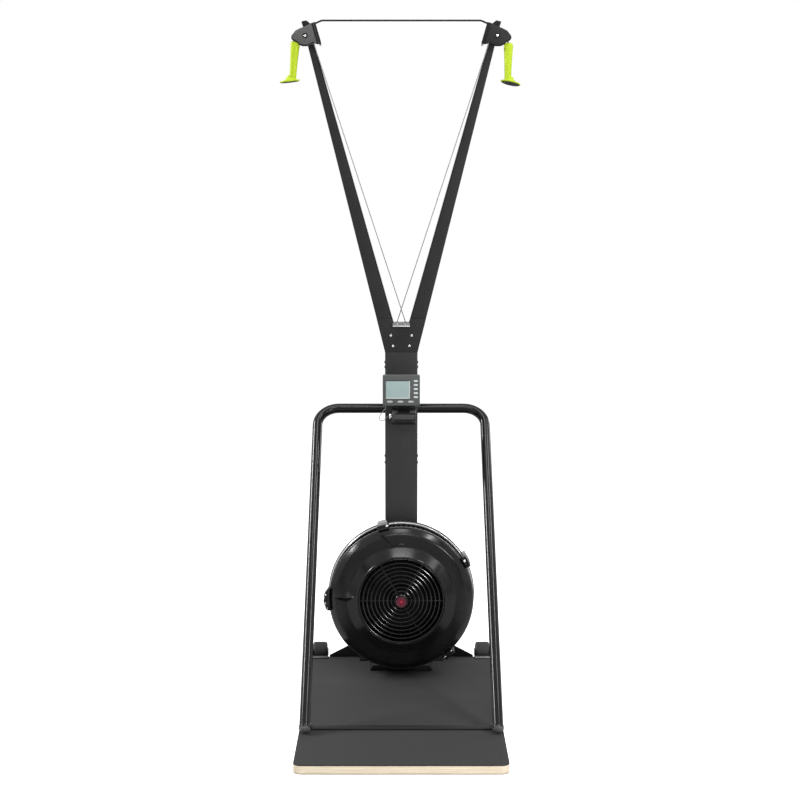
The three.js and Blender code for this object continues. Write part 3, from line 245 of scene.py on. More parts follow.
# the material's name, its colour (a grey as one number), roughness, specular level and tone spread, the
# grain's size and height in metres, then the roughness's spread and the patches' size where not the usual
grainFinishes = {
    # the brown strip along the board's underside: painted shade of its lower edge
    "sealed": ("paintedUndersideShade", (0.17, 0.11, 0.055), 0.6, 0.5, 0.15, 0.004, 0.00003, 0.08, 0.2),
    "mat": ("pebbledMat", 0.0255, 0.78, 0.2, 0.12, 0.0016, 0.0003, 0.08, 0.2),
    "strap": ("strapPaint", 0.0075, 0.6, 0.15, 0.1, 0.0009, 0.00005),
    "paint": ("blackPowderPaint", (0.025, 0.025, 0.026), 0.42, 0.25, 0.1, 0.0009, 0.00005),
    "armPaint": ("armPowderPaint", (0.0195, 0.0195, 0.020), 0.5, 0.14, 0.1, 0.0009, 0.00005),
    "tubePaint": ("tubeGlossPaint", (0.006, 0.006, 0.0065), 0.15, 0.2, 0.1, 0.003, 0.000005, 0.03),
    "plastic": ("blackShellPlastic", (0.0065, 0.0065, 0.007), 0.2, 0.24, 0.15, 0.0011, 0.00001, 0.03),
    "glossPlastic": ("blackGlossPlastic", (0.004, 0.004, 0.0045), 0.13, 0.28, 0.15, 0.002, 0.00001, 0.02),
    "wire": ("blackWire", 0.003, 0.2, 0.4, 0.15, 0.002, 0.000004, 0.01),
    "edgeGloss": ("shellEdgePlastic", 0.02, 0.36, 0.9, 0.1, 0.002, 0.00001, 0.03),
    "deepBlack": ("deepBlackPlastic", 0.004, 0.5, 0.15, 0.2, 0.001, 0.00004),
    # the pale grey of the thin rib on the fan's front shell: a painted highlight
    "housing": ("ribPaintedHighlightPlastic", 0.058, 0.45, 0.3, 0.1, 0.001, 0.00004),
    # the two housings are one plastic: the left's lighter copy is painted light and the right's darker copy
    # is painted shade
    "housingLeft": ("housingPlasticPaintedLit", (0.075, 0.075, 0.074), 0.45, 0.3, 0.1, 0.001, 0.00004),
    "housingRight": ("housingPlasticPaintedShade", 0.018, 0.45, 0.15, 0.1, 0.001, 0.00004),
    "guide": ("guidePlastic", 0.17, 0.45, 0.4, 0.2, 0.0022, 0.00006),
    "grip": ("limeGripRubber", (0.41, 0.54, 0.018), 0.6, 0.25, 0.015, 0.0012, 0.000004, 0.05, 0.05),
    "steel": ("brightSteel", (0.70, 0.70, 0.71), 0.24, 0.5, 0.1, 0.0005, 0.00002, 0.08, 0.01),
    # the fan wheel's near black: painted shade of the drum's inside
    "alloy": ("fanWheelPaintedShade", (0.008, 0.008, 0.0085), 0.55, 0.1, 0.2, 0.001, 0.00004, 0.08),
    "lip": ("lipSilver", (0.55, 0.56, 0.56), 0.25, 0.5, 0.06, 0.0008, 0.00002),
    "badge": ("redBadge", (0.36, 0.006, 0.035), 0.35, 0.35, 0.1, 0.001, 0.00003),
    "badgeDark": ("wineBadgeRing", (0.075, 0.004, 0.012), 0.4, 0.25, 0.1, 0.001, 0.00003),
    "badgePale": ("paleBadgeRing", (0.20, 0.045, 0.075), 0.35, 0.3, 0.1, 0.001, 0.00003),
    "hingePlastic": ("hingePlastic", 0.022, 0.24, 0.7, 0.1, 0.001, 0.00002),
    "monitor": ("monitorPlastic", (0.072, 0.078, 0.076), 0.48, 0.3, 0.08, 0.0008, 0.00004),
    "screen": ("lcdFace", (0.305, 0.395, 0.387), 0.18, 0.4, 0.05, 0.0006, 0.00001, 0.02, 0.05),
    # also the pale grey of the wheel forks' rolled front edges, where it is a painted highlight
    "cup": ("zincCupAndPaintedHighlight", 0.26, 0.18, 0.7, 0.1, 0.002, 0.00002, 0.05),
    "silver": ("silverTrim", (0.7, 0.72, 0.72), 0.35, 0.5, 0.06, 0.0008, 0.00002),
    "key": ("keyRubber", (0.57, 0.59, 0.59), 0.5, 0.5, 0.08, 0.0008, 0.00005, 0.04, 0.01),
    "keyDim": ("lowerKeyRubber", (0.42, 0.43, 0.43), 0.5, 0.5, 0.08, 0.0008, 0.00005, 0.04, 0.01),
    "tyre": ("wheelRubber", 0.028, 0.55, 0.22, 0.15, 0.0014, 0.0001),
    "cable": ("cableSheath", 0.13, 0.45, 0.5, 0.1, 0.001, 0.00003),
}

# metals, and the badge's lacquer
finishExtras = {
    "steel": {"Metallic": 1.0}, "lip": {"Metallic": 0.7}, "silver": {"Metallic": 0.4},
    "badge": {"Coat Weight": 0.25},
}

plywoodSettings = {
    "plies": 9, "thickness": 0.024, "light": (0.80, 0.705, 0.55, 1), "dark": (0.50, 0.385, 0.25, 1),
    "darkEnd": 0.3, "lightEnd": 0.85, "plyShare": 0.55, "grainScale": (9, 60, 420), "roughness": 0.62,
    "grainHeight": 0.0002,
}

braidSettings = {"colour": (0.42, 0.42, 0.42, 1), "roughness": 0.7, "pitch": 0.006}


def grainMaterial(extras, name, colour, roughness, specular, toneSpread, grain, height,
                  roughnessSpread=0.06, patch=0.09):
    material, tree, shader = newMaterial(name)
    colour = colour if isinstance(colour, tuple) else (colour,) * 3
    made = addNode(tree, "Group", {
        "Colour": (*colour, 1), "Tone spread": toneSpread, "Grain size": grain, "Grain height": height,
        "Roughness": roughness, "Roughness spread": roughnessSpread, "Patch size": patch,
    }, group=surfaceGrain)
    fillSockets(tree, shader, {
        "Base Color": made["Colour"], "Roughness": made["Roughness"], "Normal": made["Normal"],
        "Specular IOR Level": specular, **extras,
    })
    return material


def plywoodMaterial():
    # the height, folded up and down once for each two plies, plus grain across the board, through a ramp
    s = plywoodSettings
    material, tree, shader = newMaterial("birchPlywood")
    place = addNode(tree, "TexCoord")["Object"]
    height = addNode(tree, "SeparateXYZ", {0: place})["Z"]
    ply = addNode(tree, "Math", {0: height, 1: s["plies"] / s["thickness"]}, "MULTIPLY")[0]
    folded = addNode(tree, "Math", {0: ply, 1: 1}, "PINGPONG")[0]
    stretched = addNode(tree, "Mapping", {"Vector": place, "Scale": s["grainScale"]})["Vector"]
    grain = addNode(tree, "TexNoise", {"Vector": stretched, "Scale": 1, "Detail": 6})["Fac"]
    blend = addNode(tree, "Math", {0: folded, 1: s["plyShare"], 2: grain}, "MULTIPLY_ADD")[0]
    ramp = tree.nodes.new("ShaderNodeValToRGB")
    dark, light = ramp.color_ramp.elements
    dark.position, dark.color = s["darkEnd"], s["dark"]
    light.position, light.color = s["lightEnd"], s["light"]
    fillSockets(tree, ramp, {"Fac": blend})
    fillSockets(tree, shader, {
        "Base Color": ramp.outputs["Color"], "Roughness": s["roughness"],
        "Normal": addNode(tree, "Bump", {"Height": grain, "Distance": s["grainHeight"]})["Normal"],
    })
    return material


def cordMaterial():
    s = braidSettings
    material, tree, shader = newMaterial("braidedCord")
    made = addNode(tree, "Group", {"Colour": s["colour"], "Pitch": s["pitch"]}, group=braidPattern)
    fillSockets(tree, shader, {
        "Base Color": made["Colour"], "Roughness": s["roughness"], "Normal": made["Normal"],
    })
    return material


finishes = {key: grainMaterial(finishExtras.get(key, {}), *row) for key, row in grainFinishes.items()}
finishes["plywood"] = plywoodMaterial()
finishes["cord"] = cordMaterial()
print("materials made")


# shapes

def unit(vectors):
    # each vector over its own length
    return vectors / np.maximum(np.linalg.norm(vectors, axis=-1, keepdims=True), 1e-12)


def roundCorners(points, radius, steps=5, closed=True):
    # each corner becomes a cubic curve close to an arc that touches both its edges
    points = np.asarray(points, float)
    radius = np.broadcast_to(np.asarray(radius, float), len(points))[:, None]
    before, after = np.roll(points, 1, 0) - points, np.roll(points, -1, 0) - points
    lengthBefore = np.linalg.norm(before, axis=1, keepdims=True)
    lengthAfter = np.linalg.norm(after, axis=1, keepdims=True)
    before, after = unit(before), unit(after)
    half = np.arccos(np.clip((before * after).sum(1, keepdims=True), -1, 1)) / 2
    reach = np.minimum(radius / np.tan(half), 0.48 * np.minimum(lengthBefore, lengthAfter))
    handle = 4 / 3 * np.tan((np.pi - 2 * half) / 4) * reach * np.tan(half)
    start, stop = points + before * reach, points + after * reach
    t = np.linspace(0, 1, steps + 1)[None, :, None]
    curve = (
        (1 - t) ** 3 * start[:, None] + 3 * (1 - t) ** 2 * t * (start - before * handle)[:, None]
        + 3 * (1 - t) * t ** 2 * (stop - after * handle)[:, None] + t ** 3 * stop[:, None]
    )
    if not closed:
        curve = curve[1:-1].reshape(-1, points.shape[1])
        curve = np.vstack([points[:1], curve, points[-1:]])
    curve = curve.reshape(-1, points.shape[1])
    apart = np.linalg.norm(curve - np.roll(curve, 1, 0), axis=1) > 1e-6
    if not closed:
        apart[0] = True
    return curve[apart]


def smoothThrough(points, steps):
    # a Catmull-Rom curve: each stretch leaves and meets its points along their neighbours' line
    points = np.asarray(points, float)
    padded = np.vstack([2 * points[0] - points[1], points, 2 * points[-1] - points[-2]])
    a, b, c, d = (padded[i:len(padded) - 3 + i, None] for i in range(4))
    t = np.linspace(0, 1, steps, endpoint=False)[None, :, None]
    curve = 0.5 * (
        2 * b + (c - a) * t + (2 * a - 5 * b + 4 * c - d) * t ** 2 + (3 * b - a - 3 * c + d) * t ** 3
    )
    return np.vstack([curve.reshape(-1, points.shape[1]), points[-1:]])


def inset(outline, distance):
    # moves a closed outline inwards by a distance, along the bisector of each corner
    edges = np.roll(outline, -1, 0) - outline
    following = np.roll(outline, -1, 0)
    area = (outline[:, 0] * following[:, 1] - following[:, 0] * outline[:, 1]).sum()
    normals = unit(np.column_stack([-edges[:, 1], edges[:, 0]]) * np.sign(area))
    both = normals + np.roll(normals, 1, 0)
    return outline + both * distance / np.maximum((both ** 2).sum(1, keepdims=True) / 2, 0.25)


def stand(first, second, level, axis):
    # two coordinates and a level across an axis: x takes (y, z), y takes (x, z), z takes (x, y)
    level = np.broadcast_to(level, first.shape)
    order = {"x": (level, first, second), "y": (first, level, second), "z": (first, second, level)}
    return np.stack(order[axis], -1)


def onPlane(outline, depth, axis):
    # stands a flat outline across an axis
    return stand(outline[:, 0], outline[:, 1], depth, axis)


def rectangle(x0, x1, z0, z1):
    # four corners, in order round it
    return np.array([(x0, z0), (x1, z0), (x1, z1), (x0, z1)], float)


def arc(centre, radius, start, stop, steps, depth):
    # points round a circle in the x-z plane at one depth
    angle = np.linspace(start, stop, steps + 1)
    return stand(centre[0] + radius * np.cos(angle), centre[1] + radius * np.sin(angle), depth, "y")


def boxOf(node):
    low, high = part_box(node)
    return np.array(low), np.array(high)


def middleOf(node):
    # half of the sum of a box's two corners
    low, high = boxOf(node)
    return (low + high) / 2


def faceOf(node, axis):
    # the outline of a node's box, seen along an axis
    low, high = boxOf(node)
    first, second = {"x": (1, 2), "y": (0, 2), "z": (0, 1)}[axis]
    return rectangle(low[first], high[first], low[second], high[second])


def quadCorners(values):
    # the four corners of each cell of a grid, in order round it
    return np.stack([values[:-1, :-1], values[:-1, 1:], values[1:, 1:], values[1:, :-1]], 2)


class Surfaces:
    # gathers closed skins into one mesh; every skin is a grid of points, rows by columns

    def __init__(self):
        self.points, self.faces, self.slots, self.patterns, self.count = [], [], [], [], 0

    def grid(self, rows, ring=False, slot=0, lengths=None):
        # each row closes on itself; a ring joins the last row to the first, and else both ends are capped
        rows = np.asarray(rows, float)
        n, m = rows.shape[:2]
        index = self.count + np.arange(n * m).reshape(n, m)
        cells = np.hstack([index, index[:, :1]])
        if ring:
            cells = np.vstack([cells, cells[:1]])
        faces = quadCorners(cells).reshape(-1, 4).tolist()
        pattern = np.zeros((len(faces) * 4, 2))
        if lengths is not None:
            along, around = np.broadcast_arrays(lengths[:, None], np.linspace(0, 1, m + 1))
            pattern = quadCorners(np.stack([along, around], -1)).reshape(-1, 2)
        if not ring:
            faces += [index[0, ::-1].tolist(), index[-1].tolist()]
            pattern = np.vstack([pattern, np.zeros((2 * m, 2))])
        self.points.append(rows.reshape(-1, 3))
        self.faces += faces
        self.slots += [slot] * len(faces)
        self.patterns.append(pattern)
        self.count += n * m
        return self

    def slab(self, outline, low, high, axis="y", edge=0.001, steps=3, slot=0):
        # an outline given depth, its two rims rounded by a quarter circle
        turn = np.linspace(0, np.pi / 2, steps + 1)
        insets, depths = edge * (1 - np.sin(turn)), edge * (1 - np.cos(turn))
        rings = [onPlane(inset(outline, i), low + d, axis) for i, d in zip(insets, depths)]
        rings += [onPlane(inset(outline, i), high - d, axis) for i, d in zip(insets[::-1], depths[::-1])]
        return self.grid(rings, slot=slot)

    def fill(self, node, outline, axis, edge, steps=3):
        # a slab as deep as a node's box
        low, high = boxOf(node)
        across = "xyz".index(axis)
        return self.slab(outline, low[across], high[across], axis, edge, steps)

    def turned(self, profile, centre, axis="y", steps=64, ring=False, slot=0):
        # a profile of radius and place along the axis, swept round it
        profile = np.asarray(profile, float)
        angle = np.linspace(0, 2 * np.pi, steps, endpoint=False)
        radius, place = profile[:, :1], profile[:, 1:]
        rows = stand(radius * np.cos(angle), radius * np.sin(angle), place, axis)
        return self.grid(rows + np.asarray(centre), ring, slot)

    def turnedSoft(self, points, radius, corners, centre, axis="y", steps=64, ring=True, slot=0):
        # the same with the profile's corners rounded; a ring is a closed profile
        return self.turned(roundCorners(points, radius, corners, ring), centre, axis, steps, ring, slot)

    def tube(self, path, radius, reference, sides=16, slot=0, patterned=False):
        # a ring of points at each point of the path, square to it
        path = np.asarray(path, float)
        ahead = unit(np.gradient(path, axis=0))
        across = unit(np.cross(ahead, reference))
        other = np.cross(across, ahead)
        angle = np.linspace(0, 2 * np.pi, sides, endpoint=False)[None, :, None]
        radius = np.broadcast_to(np.asarray(radius, float), len(path))[:, None, None]
        rows = path[:, None] + radius * (across[:, None] * np.cos(angle) + other[:, None] * np.sin(angle))
        lengths = None
        if patterned:
            lengths = np.r_[0, np.cumsum(np.linalg.norm(np.diff(path, axis=0), axis=1))]
        return self.grid(rows, slot=slot, lengths=lengths)

    def bolt(self, centre, axis, radius, height, slot=0):
        # a domed head with a socket in it; the height's sign says which way it looks
        profile = [
            (0.32 * radius, 0.45 * height), (0.38 * radius, 0.95 * height), (0.62 * radius, height),
            (0.86 * radius, 0.8 * height), (radius, 0.4 * height), (radius, 0),
        ]
        return self.turned(profile, centre, axis, 20, slot=slot)

    def build(self, name, materials, body, nodes, slotName, sharp=38):
        # the gathered points and faces as one mesh, smooth but for edges sharper than an angle in degrees
        mesh = bpy.data.meshes.new(name)
        mesh.from_pydata(np.vstack(self.points).tolist(), [], self.faces)
        pattern = mesh.uv_layers.new(name="UVMap")
        pattern.data.foreach_set("uv", np.vstack(self.patterns).ravel())
        mesh.polygons.foreach_set("material_index", self.slots)
        edit = bmesh.new()
        edit.from_mesh(mesh)
        bmesh.ops.recalc_face_normals(edit, faces=edit.faces)
        edit.to_mesh(mesh)
        edit.free()
        mesh.shade_smooth()
        mesh.set_sharp_from_angle(angle=math.radians(sharp))
        for material in materials if isinstance(materials, tuple) else (materials,):
            mesh.materials.append(finishes[material])
        piece = addObject(name, mesh)
        if nodes:
            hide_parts(*nodes)
        if body:
            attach(piece, body)
        return piece


def paintNode(node, material):
    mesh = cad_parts[node].data
    mesh.materials.clear()
    mesh.materials.append(finishes[material])


makeCamera()
makeFloor()
makeWorld()
makeLamps()
print("camera and stage made")


# cords

cordSettings = {
    "radius": 0.0015, "boltReach": 0.3053, "boltHeight": 2.089, "pulleyRadius": 0.018, "noseRadius": 0.008,
    "noseReach": 0.0275, "noseDrop": 0.004, "holeOffset": 0.014, "holeDepth": 0.032, "holeStep": 0.008,
    "spoolRadius": 0.018, "knotRadius": 0.0032, "neckRadius": 0.00225, "cableRadius": 0.001,
}

# the sensor cable's line from the monitor's underside to the hinge pin's knob
cablePoints = [
    (-0.050, 0.3401, 0.9117), (-0.0505, 0.3406, 0.906), (-0.052, 0.3406, 0.901), (-0.0565, 0.3411, 0.895),
    (-0.0615, 0.3426, 0.889), (-0.066, 0.3451, 0.8825), (-0.0693, 0.3486, 0.8755),
    (-0.0703, 0.3531, 0.8685), (-0.0688, 0.3581, 0.8625), (-0.0652, 0.3636, 0.8584),
    (-0.0602, 0.3696, 0.8572), (-0.055, 0.3756, 0.8594), (-0.0505, 0.3806, 0.8638),
    (-0.0465, 0.3836, 0.8678), (-0.043, 0.3846, 0.8698), (-0.0394, 0.3846, 0.870),
]


def holeDepthOf(side):
    # the right-hand cord's hole lies behind the left-hand one's
    s = cordSettings
    return boxOf("column")[0][1] + s["holeDepth"] + (s["holeStep"] if side == right else 0)


def driveCordPath(side, name):
    # arcs over the nose pin and the pulley, a straight run to the hole across the middle, half a turn of
    # the spool; the angles are those of the lines that touch two circles
    s = cordSettings
    depth = middleOf(f"pulley_housing_{name}")[1]
    spool = middleOf(f"drive_spool_{name}")
    hole = np.array((-s["holeOffset"], holeDepthOf(side), boxOf("cord_guide")[1][2]))
    bolt = (s["boltReach"], s["boltHeight"])
    nose = (s["boltReach"] + s["noseReach"], s["boltHeight"] - s["noseDrop"])
    apart = math.hypot(s["noseDrop"], s["noseReach"])
    leave = math.atan2(-s["noseDrop"], s["noseReach"])
    leave += math.acos((s["pulleyRadius"] - s["noseRadius"]) / apart)
    across, up = hole[0] - bolt[0], hole[2] - bolt[1]
    arrive = math.atan2(up, across) - math.acos(s["pulleyRadius"] / math.hypot(across, up)) + 2 * math.pi
    wound = 0 if side == right else math.pi
    path = np.vstack([
        arc(nose, s["noseRadius"], 0, leave, 10, depth),
        arc(bolt, s["pulleyRadius"], leave, arrive, 22, depth),
        hole, (hole[0], hole[1], boxOf("head_bracket")[0][2]),
        arc((0, spool[2]), s["spoolRadius"], wound, wound - side * math.pi, 14, spool[1]),
    ])
    return path * (side, 1, 1)


def makeDriveCord(side, name):
    # a thin tube along the cord's route
    cord = Surfaces().tube(driveCordPath(side, name), cordSettings["radius"], (0, 1, 0), 10, patterned=True)
    cord.build(f"braided_cord_{name}", "cord", root, [f"drive_cord_{name}"], "cord_grey")


def makeCordEnd(name):
    # the free end: from the nose of the housing into the top of the handle, with its knot
    s = cordSettings
    foot, top = (corner[2] for corner in boxOf(f"cord_end_{name}"))
    x, y = middleOf(f"cord_end_{name}")[:2]
    thick = np.array([s["radius"]] * 6 + [s["neckRadius"], s["knotRadius"], s["knotRadius"]])
    heights = np.linspace(top, foot, len(thick))
    line = stand(np.full(len(thick), x), heights, y, "y")
    end = Surfaces().tube(line, thick, (0, 1, 0), 12, patterned=True)
    piece = end.build(f"free_cord_{name}", "cord", None, [f"cord_end_{name}"], "cord_grey")
    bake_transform(piece)


def makeCable():
    # a thin tube along a smooth curve through the cable's points
    path = smoothThrough(cablePoints, 4)
    cable = Surfaces().tube(path, cordSettings["cableRadius"], (0.3, 1, 0.2), 10)
    piece = cable.build("monitor_cable", "cable", None, ["sensor_cable"], "cord_grey")
    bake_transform(piece)


for side, name in sideNames.items():
    makeDriveCord(side, name)
    makeCordEnd(name)
makeCable()
print("cords made")


# platform

platformSettings = {
    "frontRadius": 0.025, "rearRadius": 0.001, "boardEdge": 0.0015, "paintedShadeHeight": 0.002,
    "paintedShadeOverlap": 0.0004, "paintedShadeEdge": 0.0006, "matEdge": 0.0012, "strapEdge": 0.0024,
}


def makePlatform():
    # one outline, with two round corners in front, given depth for the plies, a brown strip of painted shade
    # under them, and the mat
    s = platformSettings
    low, high = boxOf("platform_board")
    radii = (s["frontRadius"], s["frontRadius"], s["rearRadius"], s["rearRadius"])
    outline = roundCorners(faceOf("platform_board", "z"), radii, 10)
    board = Surfaces().slab(outline, low[2] + s["paintedShadeHeight"], high[2], "z", s["boardEdge"])
    # a brown strip along the underside, below the plies, is painted shade of the board's lower edge
    paintedShadeTop = low[2] + s["paintedShadeHeight"] + s["paintedShadeOverlap"]
    board.slab(inset(outline, gap), low[2], paintedShadeTop, "z", s["paintedShadeEdge"], slot=1)
    board.build("plywood_board", ("plywood", "sealed"), root, ["platform_board"], "plywood")
    mat = Surfaces().fill("platform_mat", outline, "z", s["matEdge"])
    mat.build("rubber_mat", "mat", root, ["platform_mat"], "mat_rubber")
    strap = Surfaces().fill("cross_strap", faceOf("cross_strap", "z"), "z", s["strapEdge"])
    strap.build("foot_strap", "strap", root, ["cross_strap"], "black_paint")


# side tube

sideTubeSettings = {
    "radius": 0.016, "footReach": 0.282, "footDepth": -0.3349, "footHeight": 0.03995, "barReach": 0.276,
    "barDepth": 0.5147, "barHeight": 0.881, "bendRadius": 0.07, "cupBase": 0.0033,
}

# the two profiles hold a distance up the tube and a radius there: the black cup and the pale cap under it
shoeSettings = {
    "cup": (
        (0.0, 0.0159), (0.0004, 0.0169), (0.0014, 0.0175), (0.006, 0.0175), (0.0100, 0.0175),
        (0.0108, 0.0169), (0.0118, 0.0173), (0.012, 0.0165),
    ),
    "cap": ((-0.0004, 0.0150), (0.0002, 0.0168), (0.0024, 0.0178)),
    "webStart": 0.00875, "webHalf": 0.004, "webLift": 0.0002, "webDrop": 0.010, "webEdge": 0.0006,
    "padHalf": 0.017, "padThickness": 0.005, "padCorner": 0.003, "boltStep": 0.0108, "boltRadius": 0.0042,
    "boltHeight": 0.0026,
}


def tubeLine():
    # the right-hand foot, the corner above it and the direction between them
    s = sideTubeSettings
    foot = np.array((s["footReach"], s["footDepth"], s["footHeight"]))
    corner = np.array((s["barReach"], s["barDepth"], s["barHeight"]))
    return foot, corner, unit(corner - foot)


def makeSideTube():
    # up from one cup, across at the bar and down to the other: four points with two round bends
    s = sideTubeSettings
    foot, corner, along = tubeLine()
    start = foot + along * s["cupBase"]
    flip = np.array((-1, 1, 1))
    path = roundCorners([start, corner, corner * flip, start * flip], s["bendRadius"], 14, closed=False)
    bent = Surfaces().tube(path, s["radius"], np.cross(along, (1, 0, 0)), 36)
    bent.build("leaning_tube", "tubePaint", root, ["side_frame"], "gloss_tube")


def makeShoe(side, name):
    # the cup is a tube whose radius follows its profile
    s = shoeSettings
    foot, _, along = tubeLine()
    strapLow, strapHigh = boxOf("cross_strap")
    x = side * foot[0]
    shoe = Surfaces()
    for key, slot in (("cup", 0), ("cap", 1)):
        steps, radii = np.array(s[key]).T
        line = (foot + along * steps[:, None]) * (side, 1, 1)
        shoe.tube(line, radii, np.cross(along, (1, 0, 0)), 40, slot)

    # the web behind it stands on a pad on the strap and ends inside the tube
    padBottom = strapHigh[2] + gap
    padTop = padBottom + s["padThickness"]
    lineHeight = foot[2] + (strapHigh[1] - foot[1]) * along[2] / along[1]
    web = np.array([
        (foot[1] + s["webStart"], padBottom + s["webLift"]), (strapHigh[1], padBottom + s["webLift"]),
        (strapHigh[1], lineHeight - s["webDrop"]), (foot[1] + s["webStart"], foot[2]),
    ])
    shoe.slab(web, x - s["webHalf"], x + s["webHalf"], "x", s["webEdge"])
    pad = rectangle(x - s["padHalf"], x + s["padHalf"], strapLow[1], strapHigh[1])
    shoe.slab(roundCorners(pad, s["padCorner"], 4), padBottom, padTop, "z")
    for step in (-s["boltStep"], s["boltStep"]):
        place = (x + step, (strapLow[1] + strapHigh[1]) / 2, padTop)
        shoe.bolt(place, "z", s["boltRadius"], s["boltHeight"], 2)
    materials = ("tubePaint", "cup", "plastic")
    shoe.build(f"tube_shoe_{name}", materials, root, [f"frame_foot_{name}"], "gloss_tube")


# column, head and arms

columnSettings = {
    "cornerRadius": 0.005, "wall": 0.003, "chamfer": 0.0006, "sideBolts": (1.041, 1.025, 0.731, 0.709),
    "boltRadius": 0.0045, "boltHeight": 0.0026,
}

columnBaseSettings = {"taper": 0.008, "edge": 0.0015, "soleStart": 0.02, "soleHeight": 0.006}

braceSettings = {
    "edgeHeight": 0.006, "thickness": 0.005, "tongueReach": 0.140, "tongueEnd": 0.001, "ribEnd": 0.002,
    "ribLift": 0.001, "ribDrop": 0.0005, "edge": 0.0008,
    "cornerRadii": (0.001, 0.001, 0.003, 0.008, 0.008, 0.003), "bolts": (0.105, 0.125), "boltRadius": 0.005,
    "boltHeight": 0.003,
}

headSettings = {
    "edge": 0.0003, "tongue": 0.046, "bolts": ((0.0337, 1.131), (0.0264, 1.097)), "boltRadius": 0.0044,
    "boltHeight": 0.0032,
}

guideSettings = {
    "edge": 0.0007, "plugStart": 0.002, "bandSide": 0.001, "bandLow": 0.0008, "bandHigh": 0.0038,
    "bandProud": 0.0004, "bandSunk": 0.001, "bandEdge": 0.0003, "screwReach": 0.0127, "screwDrop": 0.0032,
    "screwRadius": 0.0021, "screwHeight": 0.0012,
    "eyelet": ((0.0036, -0.001), (0.0036, 0.0008), (0.0052, 0.0008), (0.0052, -0.001)),
}

armSettings = {
    "base": 1.0758, "top": 2.115, "baseReach": 0.053, "topReach": 0.313, "topWidth": 0.021, "crotch": 1.082,
    "channel": 0.018, "cornerRadius": 0.0025, "edgeShadeWidth": 0.0035, "edgeShadeProud": 0.0004, "topDepth": 0.042,
    "headTop": 1.185,
}

armCapSettings = {
    "outerStep": 0.007, "outerDrop": 0.0035, "crownStep": 0.010, "innerStep": 0.004, "cornerRadius": 0.003,
    "edge": 0.0015,
}


def outerEdge(z):
    # a straight line from the base's reach to the top's
    s = armSettings
    return s["baseReach"] + (s["topReach"] - s["baseReach"]) * (z - s["base"]) / (s["top"] - s["base"])


def innerEdge(z):
    # a straight line up from the middle at the crotch, and no nearer to the middle than the channel
    s = armSettings
    line = (s["topReach"] - s["topWidth"]) * (z - s["crotch"]) / (s["top"] - s["crotch"])
    return np.maximum(line, s["channel"])


def makeColumn():
    # a ring of outlines: up the outside, over a small chamfer, across the wall and down the inside
    s = columnSettings
    low, high = boxOf("column")
    outside = roundCorners(faceOf("column", "z"), s["cornerRadius"], 6)
    inside = inset(outside, s["wall"])
    shaft = Surfaces().grid([
        onPlane(outside, low[2], "z"), onPlane(outside, high[2] - s["chamfer"], "z"),
        onPlane(inset(outside, s["chamfer"]), high[2], "z"), onPlane(inside, high[2], "z"),
        onPlane(inside, low[2], "z"),
    ], ring=True)
    shaft.build("hollow_column", "paint", root, ["column"], "black_paint")

    bolts = Surfaces()
    depth = (low[1] + high[1]) / 2
    for side in sideNames:
        for height in s["sideBolts"]:
            bolts.bolt((side * high[0], depth, height), "x", s["boltRadius"], side * s["boltHeight"])
    bolts.build("column_bolts", "plastic", root, (), "black_plastic")


def makeColumnBase():
    # a tapered block in front of the column, on a flat sole
    s = columnBaseSettings
    low, high = boxOf("column_foot")
    block = np.array([
        (low[0], low[2]), (high[0], low[2]), (high[0] - s["taper"], high[2]), (low[0] + s["taper"], high[2]),
    ])
    foot = Surfaces().slab(block, low[1], boxOf("column")[0][1] - gap, "y", s["edge"])
    sole = rectangle(low[0], high[0], low[1] + s["soleStart"], high[1])
    foot.slab(sole, low[2], low[2] + s["soleHeight"], "z")
    foot.build("column_base", "deepBlack", root, ["column_foot"], "black_plastic")


def makeBrace():
    # a tapered web at the board's rear edge, a tongue and two ribs that join it to the column
    s = braceSettings
    low, high = boxOf("rear_gusset")
    half = boxOf("column")[1][0]
    edgeTop, tongueTop = low[2] + s["edgeHeight"], low[2] + s["thickness"]
    web = roundCorners([
        (low[0], low[2]), (high[0], low[2]), (high[0], edgeTop), (half, high[2]), (-half, high[2]),
        (low[0], edgeTop),
    ], s["cornerRadii"], 5)
    brace = Surfaces().slab(web, high[1] - s["thickness"], high[1], "y", s["edge"])
    tongue = rectangle(-s["tongueReach"], s["tongueReach"], low[1], high[1] - s["tongueEnd"])
    brace.slab(tongue, low[2], tongueTop, "z")
    rib = rectangle(low[1], high[1] - s["ribEnd"], low[2] + s["ribLift"], high[2] - s["ribDrop"])
    for side in sideNames:
        x = side * (half - s["thickness"] / 2)
        brace.slab(rib, x - s["thickness"] / 2, x + s["thickness"] / 2, "x", s["edge"])
        for reach in s["bolts"]:
            place = (side * reach, (low[1] + high[1]) / 2, tongueTop)
            brace.bolt(place, "z", s["boltRadius"], s["boltHeight"], 1)
    brace.build("cross_brace", ("deepBlack", "plastic"), root, ["rear_gusset"], "black_paint")


def makeHead():
    # the plate's right half follows the tongue and the arm's two edges, and the left half mirrors it
    s = headSettings
    front, back = boxOf("head_plate_front")[0][1], boxOf("head_bracket")[1][1]
    crotch = boxOf("cord_guide")[0][2] - gap
    base, top = armSettings["base"], armSettings["headTop"]
    half = [
        (s["tongue"], boxOf("head_plate_front")[0][2]), (s["tongue"], base), (outerEdge(base), base),
        (outerEdge(top), top), (innerEdge(top), top), (innerEdge(crotch), crotch),
    ]
    outline = np.array(half + [(-x, z) for x, z in reversed(half)], float)
    plate = Surfaces().fill("head_plate_front", outline, "y", s["edge"])
    plate.build("head_front_plate", "armPaint", root, ["head_plate_front"], "arm_paint")
    bolts = Surfaces()
    for x, z in s["bolts"]:
        for side in sideNames:
            bolts.bolt((side * x, front, z), "y", s["boltRadius"], -s["boltHeight"])
            bolts.bolt((side * x, back, z), "y", s["boltRadius"], s["boltHeight"])
    bolts.build("head_bolts", "steel", root, (), "steel")
    paintNode("head_bracket", "armPaint")


